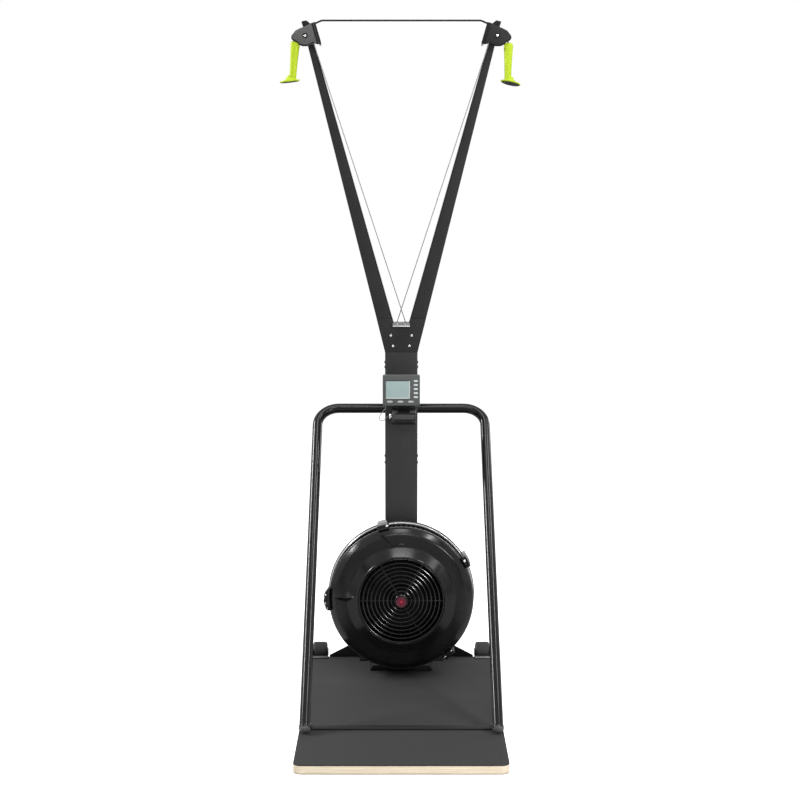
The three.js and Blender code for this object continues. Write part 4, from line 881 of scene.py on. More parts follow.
def makeGuide():
    # the guide block, with a pale lower band, an eyelet round each cord and two small screws in front
    s = guideSettings
    low, high = boxOf("cord_guide")
    lipBack = boxOf("head_plate_front")[0][1] - gap
    block = Surfaces().slab(faceOf("cord_guide", "y"), low[1], lipBack, "y", s["edge"])
    foot, top = (innerEdge(z) - gap for z in (low[2], high[2]))
    plug = np.array([(-foot, low[2]), (foot, low[2]), (top, high[2]), (-top, high[2])])
    block.slab(plug, lipBack - s["plugStart"], high[1], "y", s["edge"])
    band = rectangle(
        low[0] + s["bandSide"], high[0] - s["bandSide"], low[2] + s["bandLow"], low[2] + s["bandHigh"])
    block.slab(band, low[1] - s["bandProud"], low[1] + s["bandSunk"], "y", s["bandEdge"], slot=1)
    for side in sideNames:
        screw = (side * s["screwReach"], low[1], high[2] - s["screwDrop"])
        block.bolt(screw, "y", s["screwRadius"], -s["screwHeight"], 2)
        hole = (side * cordSettings["holeOffset"], holeDepthOf(-side), high[2])
        block.turned(s["eyelet"], hole, "z", 24, ring=True, slot=3)
    materials = ("guide", "silver", "steel", "deepBlack")
    block.build("cord_guide_block", materials, root, ["cord_guide"], "grey_plastic")


def makeArm(side, name):
    # a rounded box section carried up the arm, and a dark strip of painted shade along its inner edge
    s = armSettings
    low, high = boxOf("arm_right")
    front, back = low[1], high[1]
    # where the inner edge leaves the channel: the same line solved for its height
    channelEnd = s["crotch"] + s["channel"] * (s["top"] - s["crotch"]) / (s["topReach"] - s["topWidth"])
    levels = [(s["base"], back), (channelEnd, back), (s["headTop"], back), (s["top"], front + s["topDepth"])]
    rings, trim = [], []
    for z, rear in levels:
        x0, x1 = float(innerEdge(z)), float(outerEdge(z))
        rings.append(onPlane(roundCorners(rectangle(x0, x1, front, rear), s["cornerRadius"], 5), z, "z"))
        x0 -= s["edgeShadeProud"]
        trim.append(onPlane(rectangle(x0, x0 + s["edgeShadeWidth"], front - s["edgeShadeProud"], rear), z, "z"))
    arm = Surfaces().grid(np.array(rings) * (side, 1, 1))
    arm.grid(np.array(trim)[2:] * (side, 1, 1), slot=1)
    arm.build(f"slanted_arm_{name}", ("armPaint", "plastic"), root, [f"arm_{name}"], "arm_paint")


def makeArmCap(side, name):
    # the arm's top carried on to a slanted crown
    s = armCapSettings
    inner, outer = (float(edge(armSettings["top"])) for edge in (innerEdge, outerEdge))
    base, crown = (corner[2] for corner in boxOf(f"arm_cap_{name}"))
    outline = roundCorners([
        (inner, base), (outer, base), (outer + s["outerStep"], crown - s["outerDrop"]),
        (outer - s["crownStep"], crown), (inner - s["innerStep"], (base + crown) / 2),
    ], s["cornerRadius"], 4) * (side, 1)
    cap = Surfaces().fill(f"arm_cap_{name}", outline, "y", s["edge"])
    cap.build(f"arm_end_cap_{name}", "plastic", root, [f"arm_cap_{name}"], "black_plastic")


makePlatform()
makeSideTube()
for side, name in sideNames.items():
    makeShoe(side, name)
makeColumn()
makeColumnBase()
makeBrace()
makeHead()
makeGuide()
for side, name in sideNames.items():
    makeArm(side, name)
    makeArmCap(side, name)
print("platform, tube, column, head and arms made")


# pulley housings

# pairs are across and up
housingSettings = {
    "reach": 0.045, "wall": 0.003, "edge": 0.001, "cornerRadius": 0.006, "rimRadius": 0.012,
    "rimWall": (0.0018, 0.0027), "rimEdge": 0.0003, "lipWidth": (-0.0012, 0.0034), "lipEdge": 0.0001,
    "bandWidth": 0.0055, "bandSteps": (0.05, 1.35), "bandProud": 0.0008, "bandEdge": 0.0004,
    "rollerRadius": 0.0048, "rollerBore": 0.0015, "rollerReach": 0.0475, "rollerDrop": 0.0265,
    "rollerEnd": 0.006, "rollerCorner": 0.0012, "pinRadius": 0.0022, "pinEnd": 0.002,
    "nosePinRadius": 0.0062, "nosePinEnd": 0.0015, "sunk": 0.001,
}

# across and up from the bolt, as shares of the housing's reach
housingShares = [
    (-0.70, 0.95), (-1.13, -0.54), (-0.80, -0.54), (-0.57, -0.49), (-0.10, -0.69), (0.25, -0.69),
    (0.46, -0.60), (0.66, -0.42), (0.90, -0.31), (0.98, -0.22), (1.0, -0.12), (0.96, 0.02),
    (0.70, 0.35), (0.36, 0.52), (-0.02, 0.66), (-0.43, 0.88),
]
rimShares = [0, 15, 14, 13, 12, 11, 10, 9]
underShares = [11, 10, 9, 8, 7, 6, 5, 4, 3]

# radius and place along the axle
pulleyProfile = [
    (0.0045, -0.006), (0.0215, -0.006), (0.0215, -0.004), (0.0163, -0.0022), (0.0163, 0.0022),
    (0.0215, 0.004), (0.0215, 0.006), (0.0045, 0.006),
]
pulleyCorner = 0.0008

pulleyBoltSettings = {
    "headRadius": 0.0046, "headHeight": 0.0034, "shankRadius": 0.004, "washerRadius": 0.0082,
    "washerHeight": 0.0011,
}

spreaderSettings = {"radius": 0.003, "endLength": 0.02, "bendRadius": 0.02}


def makeHousing(side, name):
    # two cheeks of one outline with a wall between them
    s, c = housingSettings, cordSettings
    front, back = (corner[1] for corner in boxOf(f"pulley_housing_{name}"))
    shares = np.array(housingShares) * s["reach"]

    def placed(outline):
        # from across and up from the bolt to x and z
        return outline * (side, 1) + (side * c["boltReach"], c["boltHeight"])

    shell = Surfaces()
    outline = placed(roundCorners(shares, s["cornerRadius"], 4))
    shell.slab(outline, front, front + s["wall"], "y", s["edge"])
    shell.slab(outline, back - s["wall"], back, "y", s["edge"])
    # the wall runs over the top and round the nose; the underside stays open for the cord
    rim = roundCorners(shares[rimShares], s["rimRadius"], 5, closed=False)
    band = placed(np.vstack([rim, (rim - s["rimWall"])[::-1]]))
    shell.slab(band, front + s["wall"] / 2, back - s["wall"] / 2, "y", s["rimEdge"])
    # two dark bands along the arm, the inner one down to a small pale roller at its foot
    strip = shares[:2]
    across = unit(np.array((strip[0, 1] - strip[1, 1], strip[1, 0] - strip[0, 0])))
    for step in s["bandSteps"]:
        near = strip + across * step * s["bandWidth"]
        lane = placed(np.vstack([near, (near + across * s["bandWidth"])[::-1]]))
        shell.slab(lane, front - s["bandProud"], front + s["sunk"], "y", s["bandEdge"], slot=1)
    foot = (side * c["boltReach"] - side * s["rollerReach"], front, c["boltHeight"] - s["rollerDrop"])
    ends = (s["rollerEnd"], back - front - s["rollerEnd"])
    roller = rectangle(s["rollerBore"], s["rollerRadius"], *ends)
    shell.turnedSoft(roller, s["rollerCorner"], 3, foot, "y", 24, slot=2)
    ends = (s["pinEnd"], back - front - s["pinEnd"])
    pin = [(pole, ends[0]), (s["pinRadius"], ends[0]), (s["pinRadius"], ends[1]), (pole, ends[1])]
    shell.turned(pin, foot, "y", 16, slot=1)
    # the dark edge of the open underside, its deep black partly painted shade inside the housing
    under = roundCorners(shares[underShares], s["cornerRadius"], 4, closed=False)
    lip = placed(np.vstack([under, (under + s["lipWidth"])[::-1]]))
    shell.slab(lip, front - gap, front + s["sunk"], "y", s["lipEdge"], slot=1)
    nosePin = [(s["nosePinRadius"], front + s["nosePinEnd"]), (s["nosePinRadius"], back - s["nosePinEnd"])]
    nose = (side * (c["boltReach"] + c["noseReach"]), 0, c["boltHeight"] - c["noseDrop"])
    shell.turned(nosePin, nose, "y", 24)
    # the left housing takes the lighter copy of the plastic, painted light, and the right takes the darker
    # copy, painted shade
    materials = (f"housing{name.title()}", "deepBlack", "silver")
    shell.build(f"housing_shell_{name}", materials, root, [f"pulley_housing_{name}"], "housing_plastic")


def makePulley(side, name):
    # the grooved profile turned about the bolt
    front, back = (corner[1] for corner in boxOf(f"pulley_housing_{name}"))
    centre = (side * cordSettings["boltReach"], (front + back) / 2, cordSettings["boltHeight"])
    wheel = Surfaces().turnedSoft(pulleyProfile, pulleyCorner, 3, centre, "y", 48)
    node = f"top_pulley_{name}"
    wheel.build(f"cord_pulley_{name}", "plastic", node, [node], "black_plastic")


def makePulleyBolt(side, name):
    # a head in front, a shank through the housing and a washer under the head
    s = pulleyBoltSettings
    front, back = (corner[1] for corner in boxOf(f"pulley_housing_{name}"))
    centre = np.array((side * cordSettings["boltReach"], 0, cordSettings["boltHeight"]))
    bolt = Surfaces().bolt(centre + (0, front - gap, 0), "y", s["headRadius"], -s["headHeight"])
    bolt.turned([(s["shankRadius"], front - gap), (s["shankRadius"], back)], centre, "y", 20)
    washer = rectangle(s["headRadius"], s["washerRadius"], -s["washerHeight"], 0)
    bolt.turned(washer, centre + (0, front, 0), "y", 28, ring=True, slot=1)
    bolt.build(f"pulley_axle_{name}", ("steel", "deepBlack"), root, [f"pulley_bolt_{name}"], "steel")


def makeSpreader():
    # a thin rod between the housings, its ends bent down
    s = spreaderSettings
    low, high = boxOf("spreader_rod")
    depth, foot, top = (low[1] + high[1]) / 2, low[2] + s["radius"], high[2] - s["radius"]
    half = [(high[0], depth, foot), (high[0] - s["endLength"], depth, top)]
    points = np.array(half + [(-x, y, z) for x, y, z in reversed(half)])
    path = roundCorners(points, s["bendRadius"], 8, closed=False)
    rod = Surfaces().tube(path, s["radius"], (0, 1, 0), 14)
    rod.build("thin_spreader", "tubePaint", root, ["spreader_rod"], "gloss_tube")


# handles

handleSettings = {
    "length": 0.126, "width": 0.0295, "depth": 0.032, "squareness": 0.88, "flangeTilt": 11,
    "flangeOffset": 0.009, "flangeDrop": 0.003, "flangeHeight": 0.0225, "flangeLean": 0.55,
    "lean": {left: 4.5, right: -1.2}, "nod": {left: 0.0, right: 8.0}, "rise": {left: 0.006, right: 0.0},
    "inward": {left: 0.003, right: -0.001},
}

# distance down the grip, its width and its depth, as shares of the settings
gripShares = [
    (0, 0.34, 0.34), (0.004, 0.66, 0.66), (0.022, 0.90, 0.90), (0.06, 1.0, 1.0), (0.2, 0.96, 0.98),
    (0.4, 0.87, 0.92), (0.65, 0.79, 0.86), (0.86, 0.76, 0.82), (0.93, 0.78, 0.83), (1.0, 0.88, 0.9),
]

# radius and height: the flange that flares out of the grip, and the dark disc under it
flareProfile = roundCorners([
    (pole, 0.0225), (0.0092, 0.0222), (0.0118, 0.0135), (0.0185, 0.0078), (0.0325, 0.0040),
    (0.0325, 0.0016), (0.030, 0), (pole, 0),
], (0.0005, 0.002, 0.006, 0.008, 0.0012, 0.0008, 0.001, 0.0005), 5, closed=False)
discProfile = roundCorners([
    (pole, 0.0010), (0.0292, 0.0010), (0.0292, -0.0008), (pole, -0.0010),
], 0.0008, 3, closed=False)


def handleTurn(side):
    # each handle hangs at its own angle: a turn about y, then one about x, both at the cord
    lean = math.radians(handleSettings["lean"][side]) * side
    nod = math.radians(handleSettings["nod"][side])
    sway = [(math.cos(lean), 0, -math.sin(lean)), (0, 1, 0), (math.sin(lean), 0, math.cos(lean))]
    tip = [(1, 0, 0), (0, math.cos(nod), math.sin(nod)), (0, -math.sin(nod), math.cos(nod))]
    return np.array(tip) @ np.array(sway)


def gripRows():
    # a slightly squared oval section: the sine and cosine are raised to a power under one
    s = handleSettings
    down, wide, deep = smoothThrough(gripShares, 8).T[:, :, None]
    angle = np.linspace(0, 2 * np.pi, 40, endpoint=False)
    cos, sin = (np.sign(wave) * np.abs(wave) ** s["squareness"] for wave in (np.cos(angle), np.sin(angle)))
    return stand(wide * s["width"] / 2 * cos, deep * s["depth"] / 2 * sin, -down * s["length"], "z")


def flangeRows(profile, side):
    # rings round a tilted axis; they shift back to the grip's own axis towards the cone's top
    s = handleSettings
    tilt = math.radians(s["flangeTilt"])
    around = np.linspace(0, 2 * np.pi, 56, endpoint=False)
    radius, height = profile[:, :1], profile[:, 1:]
    across, depth = radius * np.cos(around), radius * np.sin(around)
    shift = s["flangeOffset"] * (1 - np.clip(height / s["flangeHeight"], 0, 1) * s["flangeLean"])
    x = side * (shift + across * math.cos(tilt) + height * math.sin(tilt))
    z = -s["length"] - s["flangeDrop"] - across * math.sin(tilt) + height * math.cos(tilt)
    return np.stack([x, depth, z], -1)


def makeHandle(side, name):
    # the grip, the flange and the disc, worked out upright, then turned and hung from the cord
    s = handleSettings
    x, y = middleOf(f"cord_end_{name}")[:2]
    hang = np.array((x - side * s["inward"][side], y, boxOf(f"handle_{name}")[1][2] + s["rise"][side]))
    turn = handleTurn(side).T
    grip = Surfaces().grid(gripRows() @ turn + hang)
    grip.grid(flangeRows(flareProfile, side) @ turn + hang)
    grip.grid(flangeRows(discProfile, side) @ turn + hang, slot=1)
    node = f"handle_{name}"
    grip.build(f"pull_grip_{name}", ("grip", "deepBlack"), node, [node], "lime_grip", 50)


for side, name in sideNames.items():
    makeHousing(side, name)
    makePulley(side, name)
    makePulleyBolt(side, name)
makeSpreader()
for side, name in sideNames.items():
    makeHandle(side, name)
print("housings and handles made")


# fan

fanSettings = {
    "faceDepth": 0.020, "radius": 0.2315, "rimDepth": 0.050, "beadRadius": 0.0022, "beadReach": 0.0012,
    "beadInset": 0.0042, "ribSunk": 0.001, "ribEdge": 0.0010, "seamProud": 0.0042, "seamSunk": 0.004,
    "seamEdge": 0.0005, "steps": 160,
}

rearSettings = {
    "depth": 0.130, "ribs": (0.06, 0.11, 0.16, 0.205), "ribWidth": 0.004, "ribProud": 0.0002,
    "ribSunk": 0.001, "ribCorner": 0.0005, "lugInner": 0.2325, "lugOuter": 0.2495, "lugSpan": 4.4,
    "lugDepth": 0.033, "lugDegrees": (-14, 60, 140), "lugCorner": 0.003, "lugEdge": 0.0025,
    "screwShare": 0.7, "steps": 160,
}

# the shells' profiles turn about the axis: radius, distance back and the corner's radius

# round the grille's opening, over the bevel and the face and round to the rim
frontOutside = [
    (0.1395, 0.0040, 0.001), (0.1395, -0.0008, 0.001), (0.1435, -0.0008, 0.001), (0.1450, 0.0012, 0.001),
    (0.1720, 0.0160, 0.003), (0.1760, 0.0170, 0.002), (0.2140, 0.0200, 0.014), (0.2315, 0.0375, 0.016),
    (0.2315, 0.0450, 0.0008), (0.2335, 0.0460, 0.0008), (0.2335, 0.0500, 0.0008),
]
# back along the inside
frontInside = [
    (0.2285, 0.0500, 0.008), (0.2285, 0.0405, 0.008), (0.2120, 0.0230, 0.008), (0.1720, 0.0190, 0.008),
    (0.1430, 0.0040, 0.008),
]
rearCup = [
    (0.0250, 0.1265, 0.0005), (0.2290, 0.1265, 0.0020), (0.2290, 0.1235, 0.0010),
    (0.2395, 0.1235, 0.0015), (0.2395, 0.1300, 0.0040), (0.0250, 0.1300, 0.0005),
]
rearLip = [
    (0.2292, 0.1240, 0.0002), (0.2292, 0.1155, 0.0020), (0.2320, 0.1124, 0.0020),
    (0.2355, 0.1124, 0.0015), (0.2369, 0.1150, 0.0015), (0.2369, 0.1240, 0.0002),
]

# degrees, distance from the axis, radius
lugScrews = [(-11, 0.2440, 0.0044), (58.6, 0.2390, 0.0050), (143.3, 0.2385, 0.0028), (136.7, 0.2365, 0.0026)]

# two pointed fins, at the left and at the upper left: each has three lines, of x and z from the axis and
# the distance back from the grille's plane
finLines = [
    [[(-0.2160, 0.0150, 0.021), (-0.1745, 0.0310, 0.021), (-0.1520, 0.0125, 0.010)],
     [(-0.2165, 0.0085, 0.012), (-0.1760, 0.0092, 0.006), (-0.1480, 0.0095, 0.0035)],
     [(-0.2160, 0.0040, 0.021), (-0.1810, -0.0110, 0.021), (-0.1520, 0.0065, 0.010)]],
    [[(-0.0700, 0.2080, 0.026), (-0.0560, 0.1900, 0.022), (-0.0420, 0.1760, 0.019)],
     [(-0.0620, 0.2110, 0.0165), (-0.0475, 0.1925, 0.0145), (-0.0330, 0.1770, 0.0155)],
     [(-0.0600, 0.2110, 0.026), (-0.0455, 0.1925, 0.022), (-0.0310, 0.1765, 0.019)]],
]

# a dark step and a thin rib over it, beside the upper lug, the rib's pale grey being a painted highlight: two
# radii, middle and half span in degrees, slot
seamSectors = [(0.1765, 0.1795, -4.9, 5.4, 1), (0.1815, 0.1840, 0.2, 2.4, 2)]
seamLine = [(-0.0640, 0.2150), (-0.0325, 0.1765), (-0.0300, 0.1785), (-0.0612, 0.2168)]


def fanCentre():
    # on the axle's line, at the front shell's foremost plane
    return np.array((0, boxOf("fan_front_shell")[0][1], middleOf("main_axle")[2]))


def sectorOutline(inner, outer, middleDegrees, halfSpanDegrees, steps=10):
    # a ring sector seen from the front; angles run clockwise from the top
    angle = np.radians(np.linspace(middleDegrees - halfSpanDegrees, middleDegrees + halfSpanDegrees, steps))
    around = np.column_stack([np.sin(angle), np.cos(angle)])
    return np.vstack([around * outer, around[::-1] * inner])


def finRows(lines):
    # a low fin from three lines of points, its upper foot, its crest and its lower foot, in 17 even steps
    upper, crest, lower = (np.array(line)[:, [0, 2, 1]] for line in lines)
    rows = np.stack([
        upper, upper + (crest - upper) * 0.93, crest, lower + (crest - lower) * 0.9, lower,
    ], 1)
    spread = np.linspace(0, len(rows) - 1, 17)
    index = np.minimum(spread.astype(int), len(rows) - 2)
    share = (spread - index)[:, None, None]
    return rows[index] * (1 - share) + rows[index + 1] * share


def makeFrontShell():
    # the turned profile, then what lies on it: fins, seams and a bead
    s = fanSettings
    centre = fanCentre()
    outside, inside = np.array(frontOutside), np.array(frontInside)
    profile = np.vstack([
        roundCorners(outside[:, :2], outside[:, 2], 6, closed=False),
        roundCorners(inside[:, :2], inside[:, 2], 4, closed=False),
    ])
    shell = Surfaces().turned(profile, centre, "y", s["steps"], ring=True)
    for lines in finLines:
        shell.grid(finRows(lines) + centre)
    front, level = centre[1] + s["faceDepth"] - s["seamProud"], centre[1] + s["faceDepth"]
    for *sector, slot in seamSectors:
        outline = sectorOutline(*sector) + (0, centre[2])
        shell.slab(outline, front, level + s["ribSunk"], "y", s["ribEdge"], slot=slot)
    seam = seamLine + np.array((0, centre[2]))
    shell.slab(seam, front, level + s["seamSunk"], "y", s["seamEdge"], slot=1)
    # a bead round the shell's rear edge
    around = np.linspace(0, 2 * np.pi, 12, endpoint=False)
    bead = s["beadRadius"] * np.column_stack([np.cos(around), np.sin(around)])
    bead += (s["radius"] + s["beadReach"], s["rimDepth"] - s["beadInset"])
    shell.turned(bead, centre, "y", s["steps"], ring=True, slot=3)
    materials = ("plastic", "deepBlack", "housing", "edgeGloss")
    shell.build("fan_front_cover", materials, root, ["fan_front_shell"], "black_plastic", 30)


def makeRearShell():
    # a shallow cup whose front lip is bright, with ribs on its back and three lugs round it
    s = rearSettings
    centre, back = fanCentre(), s["depth"]
    cup, lip = np.array(rearCup), np.array(rearLip)
    rear = Surfaces().turnedSoft(cup[:, :2], cup[:, 2], 6, centre, "y", s["steps"])
    rear.turnedSoft(lip[:, :2], lip[:, 2], 5, centre, "y", s["steps"], slot=1)
    for radius in s["ribs"]:
        rib = rectangle(radius, radius + s["ribWidth"], back - s["ribSunk"], back + s["ribProud"])
        rear.turnedSoft(rib, s["ribCorner"], 2, centre, "y", 120)
    for middle in s["lugDegrees"]:
        sector = sectorOutline(s["lugInner"], s["lugOuter"], middle, s["lugSpan"], 9)
        outline = roundCorners(sector, s["lugCorner"], 3) + (0, centre[2])
        slot = 2 if middle > 90 else 0  # the lower lug is the dullest
        rear.slab(outline, centre[1] + s["lugDepth"], centre[1] + back, "y", s["lugEdge"], 4, slot)
    materials = ("glossPlastic", "lip", "deepBlack")
    rear.build("fan_rear_cover", materials, root, ["fan_rear_shell"], "black_plastic", 30)

    screws = Surfaces()
    for middle, radius, size in lugScrews:
        turn = math.radians(middle)
        place = centre + (radius * math.sin(turn), s["lugDepth"], radius * math.cos(turn))
        screws.bolt(place, "y", size, -s["screwShare"] * size)
    screws.build("lug_screws", "steel", root, (), "steel")


# cage and damper

cageSettings = {
    "radius": 0.2284, "wall": 0.0022, "hoops": 4, "hoopWidth": 0.005, "bars": 90, "barHalf": 0.0035,
    "barSunk": 0.0001, "barInset": 0.001,
}

damperSettings = {
    "outer": 0.2250, "inner": 0.2212, "front": 0.3102, "back": 0.3820, "tabInner": 0.2230, "tabOuter": 0.2355,
    "corner": 0.001, "tabHalf": 0.015, "tabFront": 0.3101, "tabBack": 0.3141, "tabEdge": 0.0006,
    "gripFront": 0.030, "gripBack": 0.075, "gripCorner": 0.0035, "gripEdge": 0.004, "screwSunk": 0.0002,
    "screwHeight": 0.0018, "ridges": (-0.004, 0.002), "ridgeHalf": 0.0008, "ridgeInner": 0.2350,
    "ridgeOuter": 0.2490, "ridgeProud": 0.0008, "ridgeSunk": 0.0012, "ridgeEdge": 0.0004,
}

# the damper's grip is a bumpy rounded block: x and z from the axis
damperGripOutline = [
    (-0.2306, 0.0345), (-0.2372, 0.0345), (-0.2402, 0.0290), (-0.2448, 0.0220), (-0.2482, 0.0180),
    (-0.2512, 0.0100), (-0.2502, 0.0030), (-0.2526, -0.0060), (-0.2512, -0.0170), (-0.2474, -0.0230),
    (-0.2456, -0.0330), (-0.2400, -0.0380), (-0.2284, -0.0400), (-0.2318, 0),
]
damperScrews = [(-0.2445, 0.0135, 0.0030), (-0.2462, -0.0140, 0.0030), (-0.2390, -0.0300, 0.0022)]


def makeCage():
    # the perforated band: bars along the drum between hoops, all one thin wall
    s = cageSettings
    outer, inner = s["radius"], s["radius"] - s["wall"]
    low, high = boxOf("fan_cage")
    height = middleOf("main_axle")[2]
    cage = Surfaces()
    for front in np.linspace(low[1], high[1] - s["hoopWidth"], s["hoops"]):
        back = front + s["hoopWidth"]
        hoop = [(outer, front), (outer, back), (inner, back), (inner, front)]
        cage.turned(hoop, (0, 0, height), "y", 180, ring=True)
    half = s["barHalf"] / outer
    for turn in np.linspace(0, 2 * np.pi, s["bars"], endpoint=False):
        angle = turn + np.array((-half, half, half, -half))
        radius = np.array((outer, outer, inner, inner)) - s["barSunk"]
        section = np.column_stack([radius * np.sin(angle), radius * np.cos(angle) + height])
        ends = (low[1] + s["barInset"], high[1] - s["barInset"])
        cage.grid([onPlane(section, depth, "y") for depth in ends])
    cage.build("perforated_band", "glossPlastic", root, ["fan_cage"], "black_plastic", 25)


def makeDamper():
    # the shutter turns inside the cage, moved by a grip at the left of the drum
    s = damperSettings
    _, front, height = fanCentre()
    outer, inner = s["outer"], s["inner"]
    section = [(outer, s["front"]), (outer, s["back"]), (inner, s["back"]), (inner, s["front"])]
    ring = Surfaces().turnedSoft(section, s["corner"], 2, (0, 0, height), "y", 160)
    tab = rectangle(-s["tabOuter"], -s["tabInner"], height - s["tabHalf"], height + s["tabHalf"])
    ring.slab(tab, s["tabFront"], s["tabBack"], "y", s["tabEdge"])
    grip = roundCorners(damperGripOutline, s["gripCorner"], 4) + (0, height)
    gripFront = front + s["gripFront"]
    ring.slab(grip, gripFront, front + s["gripBack"], "y", s["gripEdge"], 5, slot=1)
    for x, z, radius in damperScrews:
        ring.bolt((x, gripFront + s["screwSunk"], height + z), "y", radius, -s["screwHeight"], 2)
    for z in s["ridges"]:
        level = height + z
        ridge = rectangle(-s["ridgeOuter"], -s["ridgeInner"], level - s["ridgeHalf"], level + s["ridgeHalf"])
        ring.slab(ridge, gripFront - s["ridgeProud"], gripFront + s["ridgeSunk"], "y", s["ridgeEdge"], slot=1)
    materials = ("plastic", "glossPlastic", "steel")
    ring.build("damper_shutter", materials, "damper", ["damper_ring"], "black_plastic")


# grille and badge

grilleSettings = {
    "rings": 9, "firstRing": 0.0315, "ringPitch": 0.0131, "wire": (0.0022, 0.00198), "wireDepth": 0.0026,
    "rimRadius": 0.1368, "rimWire": (0.0019, 0.0024), "rimDepth": 0.0028, "spokeReach": 0.1375,
    "spokeHalf": 0.0011, "spokeFront": 0.0035, "spokeBack": 0.0065, "spokeEdge": 0.0005, "hubCorner": 0.0025,
    "steps": 128,
}

# radius and distance back from the grille's plane
hubProfile = [(pole, -0.0118), (0.0208, -0.0118), (0.0238, -0.008), (0.0238, 0.0038), (pole, 0.0038)]

# depths are back from the badge's face; each raised ring is two radii and a slot: wine red, pale wine, and
# the black rim
badgeSettings = {
    "radius": 0.0168, "middleDepth": 0.0008, "edgeDepth": 0.0014, "ringDepth": 0.0003, "back": 0.0029,
    "corner": 0.0003, "rings": (
        (0.0060, 0.0092, 2), (0.0094, 0.0116, 3), (0.0118, 0.0148, 2), (0.0150, 0.0164, 3),
        (0.0168, 0.0200, 1),
    ),
}


def makeGrille():
    # evenly spaced rings, a stouter rim, three bars across them and the hub
    s = grilleSettings
    plane, height = boxOf("fan_front_shell")[0][1], middleOf("front_grille")[2]
    centre = np.array((0, plane, height))
    grille = Surfaces()
    # the wires have eight flats, so light from one side glints along a line across the rings
    angle = np.linspace(0, 2 * np.pi, 8, endpoint=False)
    section = np.column_stack([np.cos(angle), np.sin(angle)])
    for i in range(s["rings"]):
        radius = s["firstRing"] + i * s["ringPitch"]
        grille.turned(section * s["wire"] + (radius, s["wireDepth"]), centre, "y", s["steps"], ring=True)
    rim = section * s["rimWire"] + (s["rimRadius"], s["rimDepth"])
    grille.turned(rim, centre, "y", s["steps"], ring=True)
    for i in range(3):
        turn = math.radians(60 * i)
        reach = np.array((math.cos(turn), math.sin(turn))) * s["spokeReach"]
        side = np.array((-math.sin(turn), math.cos(turn))) * s["spokeHalf"]
        outline = np.vstack([reach + side, -reach + side, -reach - side, reach - side]) + (0, height)
        grille.slab(outline, plane + s["spokeFront"], plane + s["spokeBack"], "y", s["spokeEdge"])
    grille.turnedSoft(hubProfile, s["hubCorner"], 4, centre, ring=False, slot=1)
    grille.build("wire_grille", ("wire", "glossPlastic"), root, ["front_grille"], "black_plastic", 35)


def makeBadge():
    # a shallow turned disc with raised rings on it
    s = badgeSettings
    face = np.array((0, boxOf("hub_badge")[0][1], middleOf("front_grille")[2]))
    badge = Surfaces().turnedSoft([
        (pole, s["middleDepth"]), (s["radius"], s["edgeDepth"]), (s["radius"], s["back"]), (pole, s["back"]),
    ], s["corner"], 2, face, ring=False)
    for inner, outer, slot in s["rings"]:
        section = rectangle(inner, outer, s["ringDepth"], s["back"])
        badge.turnedSoft(section, s["corner"], 2, face, slot=slot)
    materials = ("badge", "deepBlack", "badgeDark", "badgePale")
    badge.build("round_badge", materials, root, ["hub_badge"], "red_badge")


# fan wheel

fanWheelSettings = {
    "bore": 0.0103, "radius": 0.198, "inner": 0.105, "discThickness": 0.004, "hubRadius": 0.026,
    "hubFoot": 0.030, "hubFlare": 0.01, "hubEnd": 0.002, "hubCorner": 0.002, "blades": 24,
    "bladeHalf": 0.0011, "bladeCurl": 0.16, "bladeInset": 0.0005, "bladeEnd": 0.003,
}

axleSettings = {"radius": 0.010, "noseRadius": 0.0085, "noseLength": 0.003, "chamfer": 0.001}

innerFinishes = {
    "bearing_housing": "paint", "axle_bearing": "steel", "drive_spool_left": "plastic",
    "drive_spool_right": "plastic", "frame_clamp": "paint",
}


def makeFanWheel():
    # a back disc, a hub and a ring of blades
    s = fanWheelSettings
    low, high = boxOf("fan_wheel")
    height = (low[2] + high[2]) / 2
    centre = np.array((0, 0, height))
    disc = rectangle(s["bore"], s["radius"], high[1] - s["discThickness"], high[1])
    wheel = Surfaces().turned(disc, centre, "y", 128, ring=True)
    wheel.turnedSoft([
        (s["bore"], low[1]), (s["hubRadius"], low[1]), (s["hubFoot"], low[1] + s["hubFlare"]),
        (s["hubFoot"], high[1] - s["hubEnd"]), (s["bore"], high[1] - s["hubEnd"]),
    ], s["hubCorner"], 3, centre, "y", 48)
    # each blade is a thin sheet: its angle grows with the square of its share of the way out
    t = np.linspace(0, 1, 8)
    radius = s["inner"] + (s["radius"] - s["bladeInset"] - s["inner"]) * t
    for turn in np.linspace(0, 2 * np.pi, s["blades"], endpoint=False):
        angle = turn + s["bladeCurl"] * t ** 2
        mid = np.column_stack([radius * np.sin(angle), radius * np.cos(angle) + height])
        side = unit(np.column_stack([-np.gradient(mid[:, 1]), np.gradient(mid[:, 0])])) * s["bladeHalf"]
        outline = np.vstack([mid + side, (mid - side)[::-1]])
        wheel.grid([onPlane(outline, low[1], "y"), onPlane(outline, high[1] - s["bladeEnd"], "y")])
    # the wheel's near-black colour is painted shade of the drum's inside
    wheel.build("bladed_wheel", "alloy", "flywheel", ["fan_wheel"], "alloy")


def makeAxle():
    # a round bar with a narrower nose
    s = axleSettings
    low, high = boxOf("main_axle")
    centre = np.array((0, 0, middleOf("fan_wheel")[2]))
    shaft = Surfaces().turnedSoft([
        (pole, low[1]), (s["noseRadius"], low[1]), (s["radius"], low[1] + s["noseLength"]),
        (s["radius"], high[1] - s["chamfer"]), (pole, high[1]),
    ], s["chamfer"], 3, centre, "y", 32, ring=False)
    shaft.build("fan_axle", "steel", "flywheel", ["main_axle"], "steel")


makeFrontShell()
makeRearShell()
makeCage()
makeDamper()
makeGrille()
makeBadge()
makeFanWheel()
makeAxle()
for node, material in innerFinishes.items():
    paintNode(node, material)
print("fan made")


# monitor

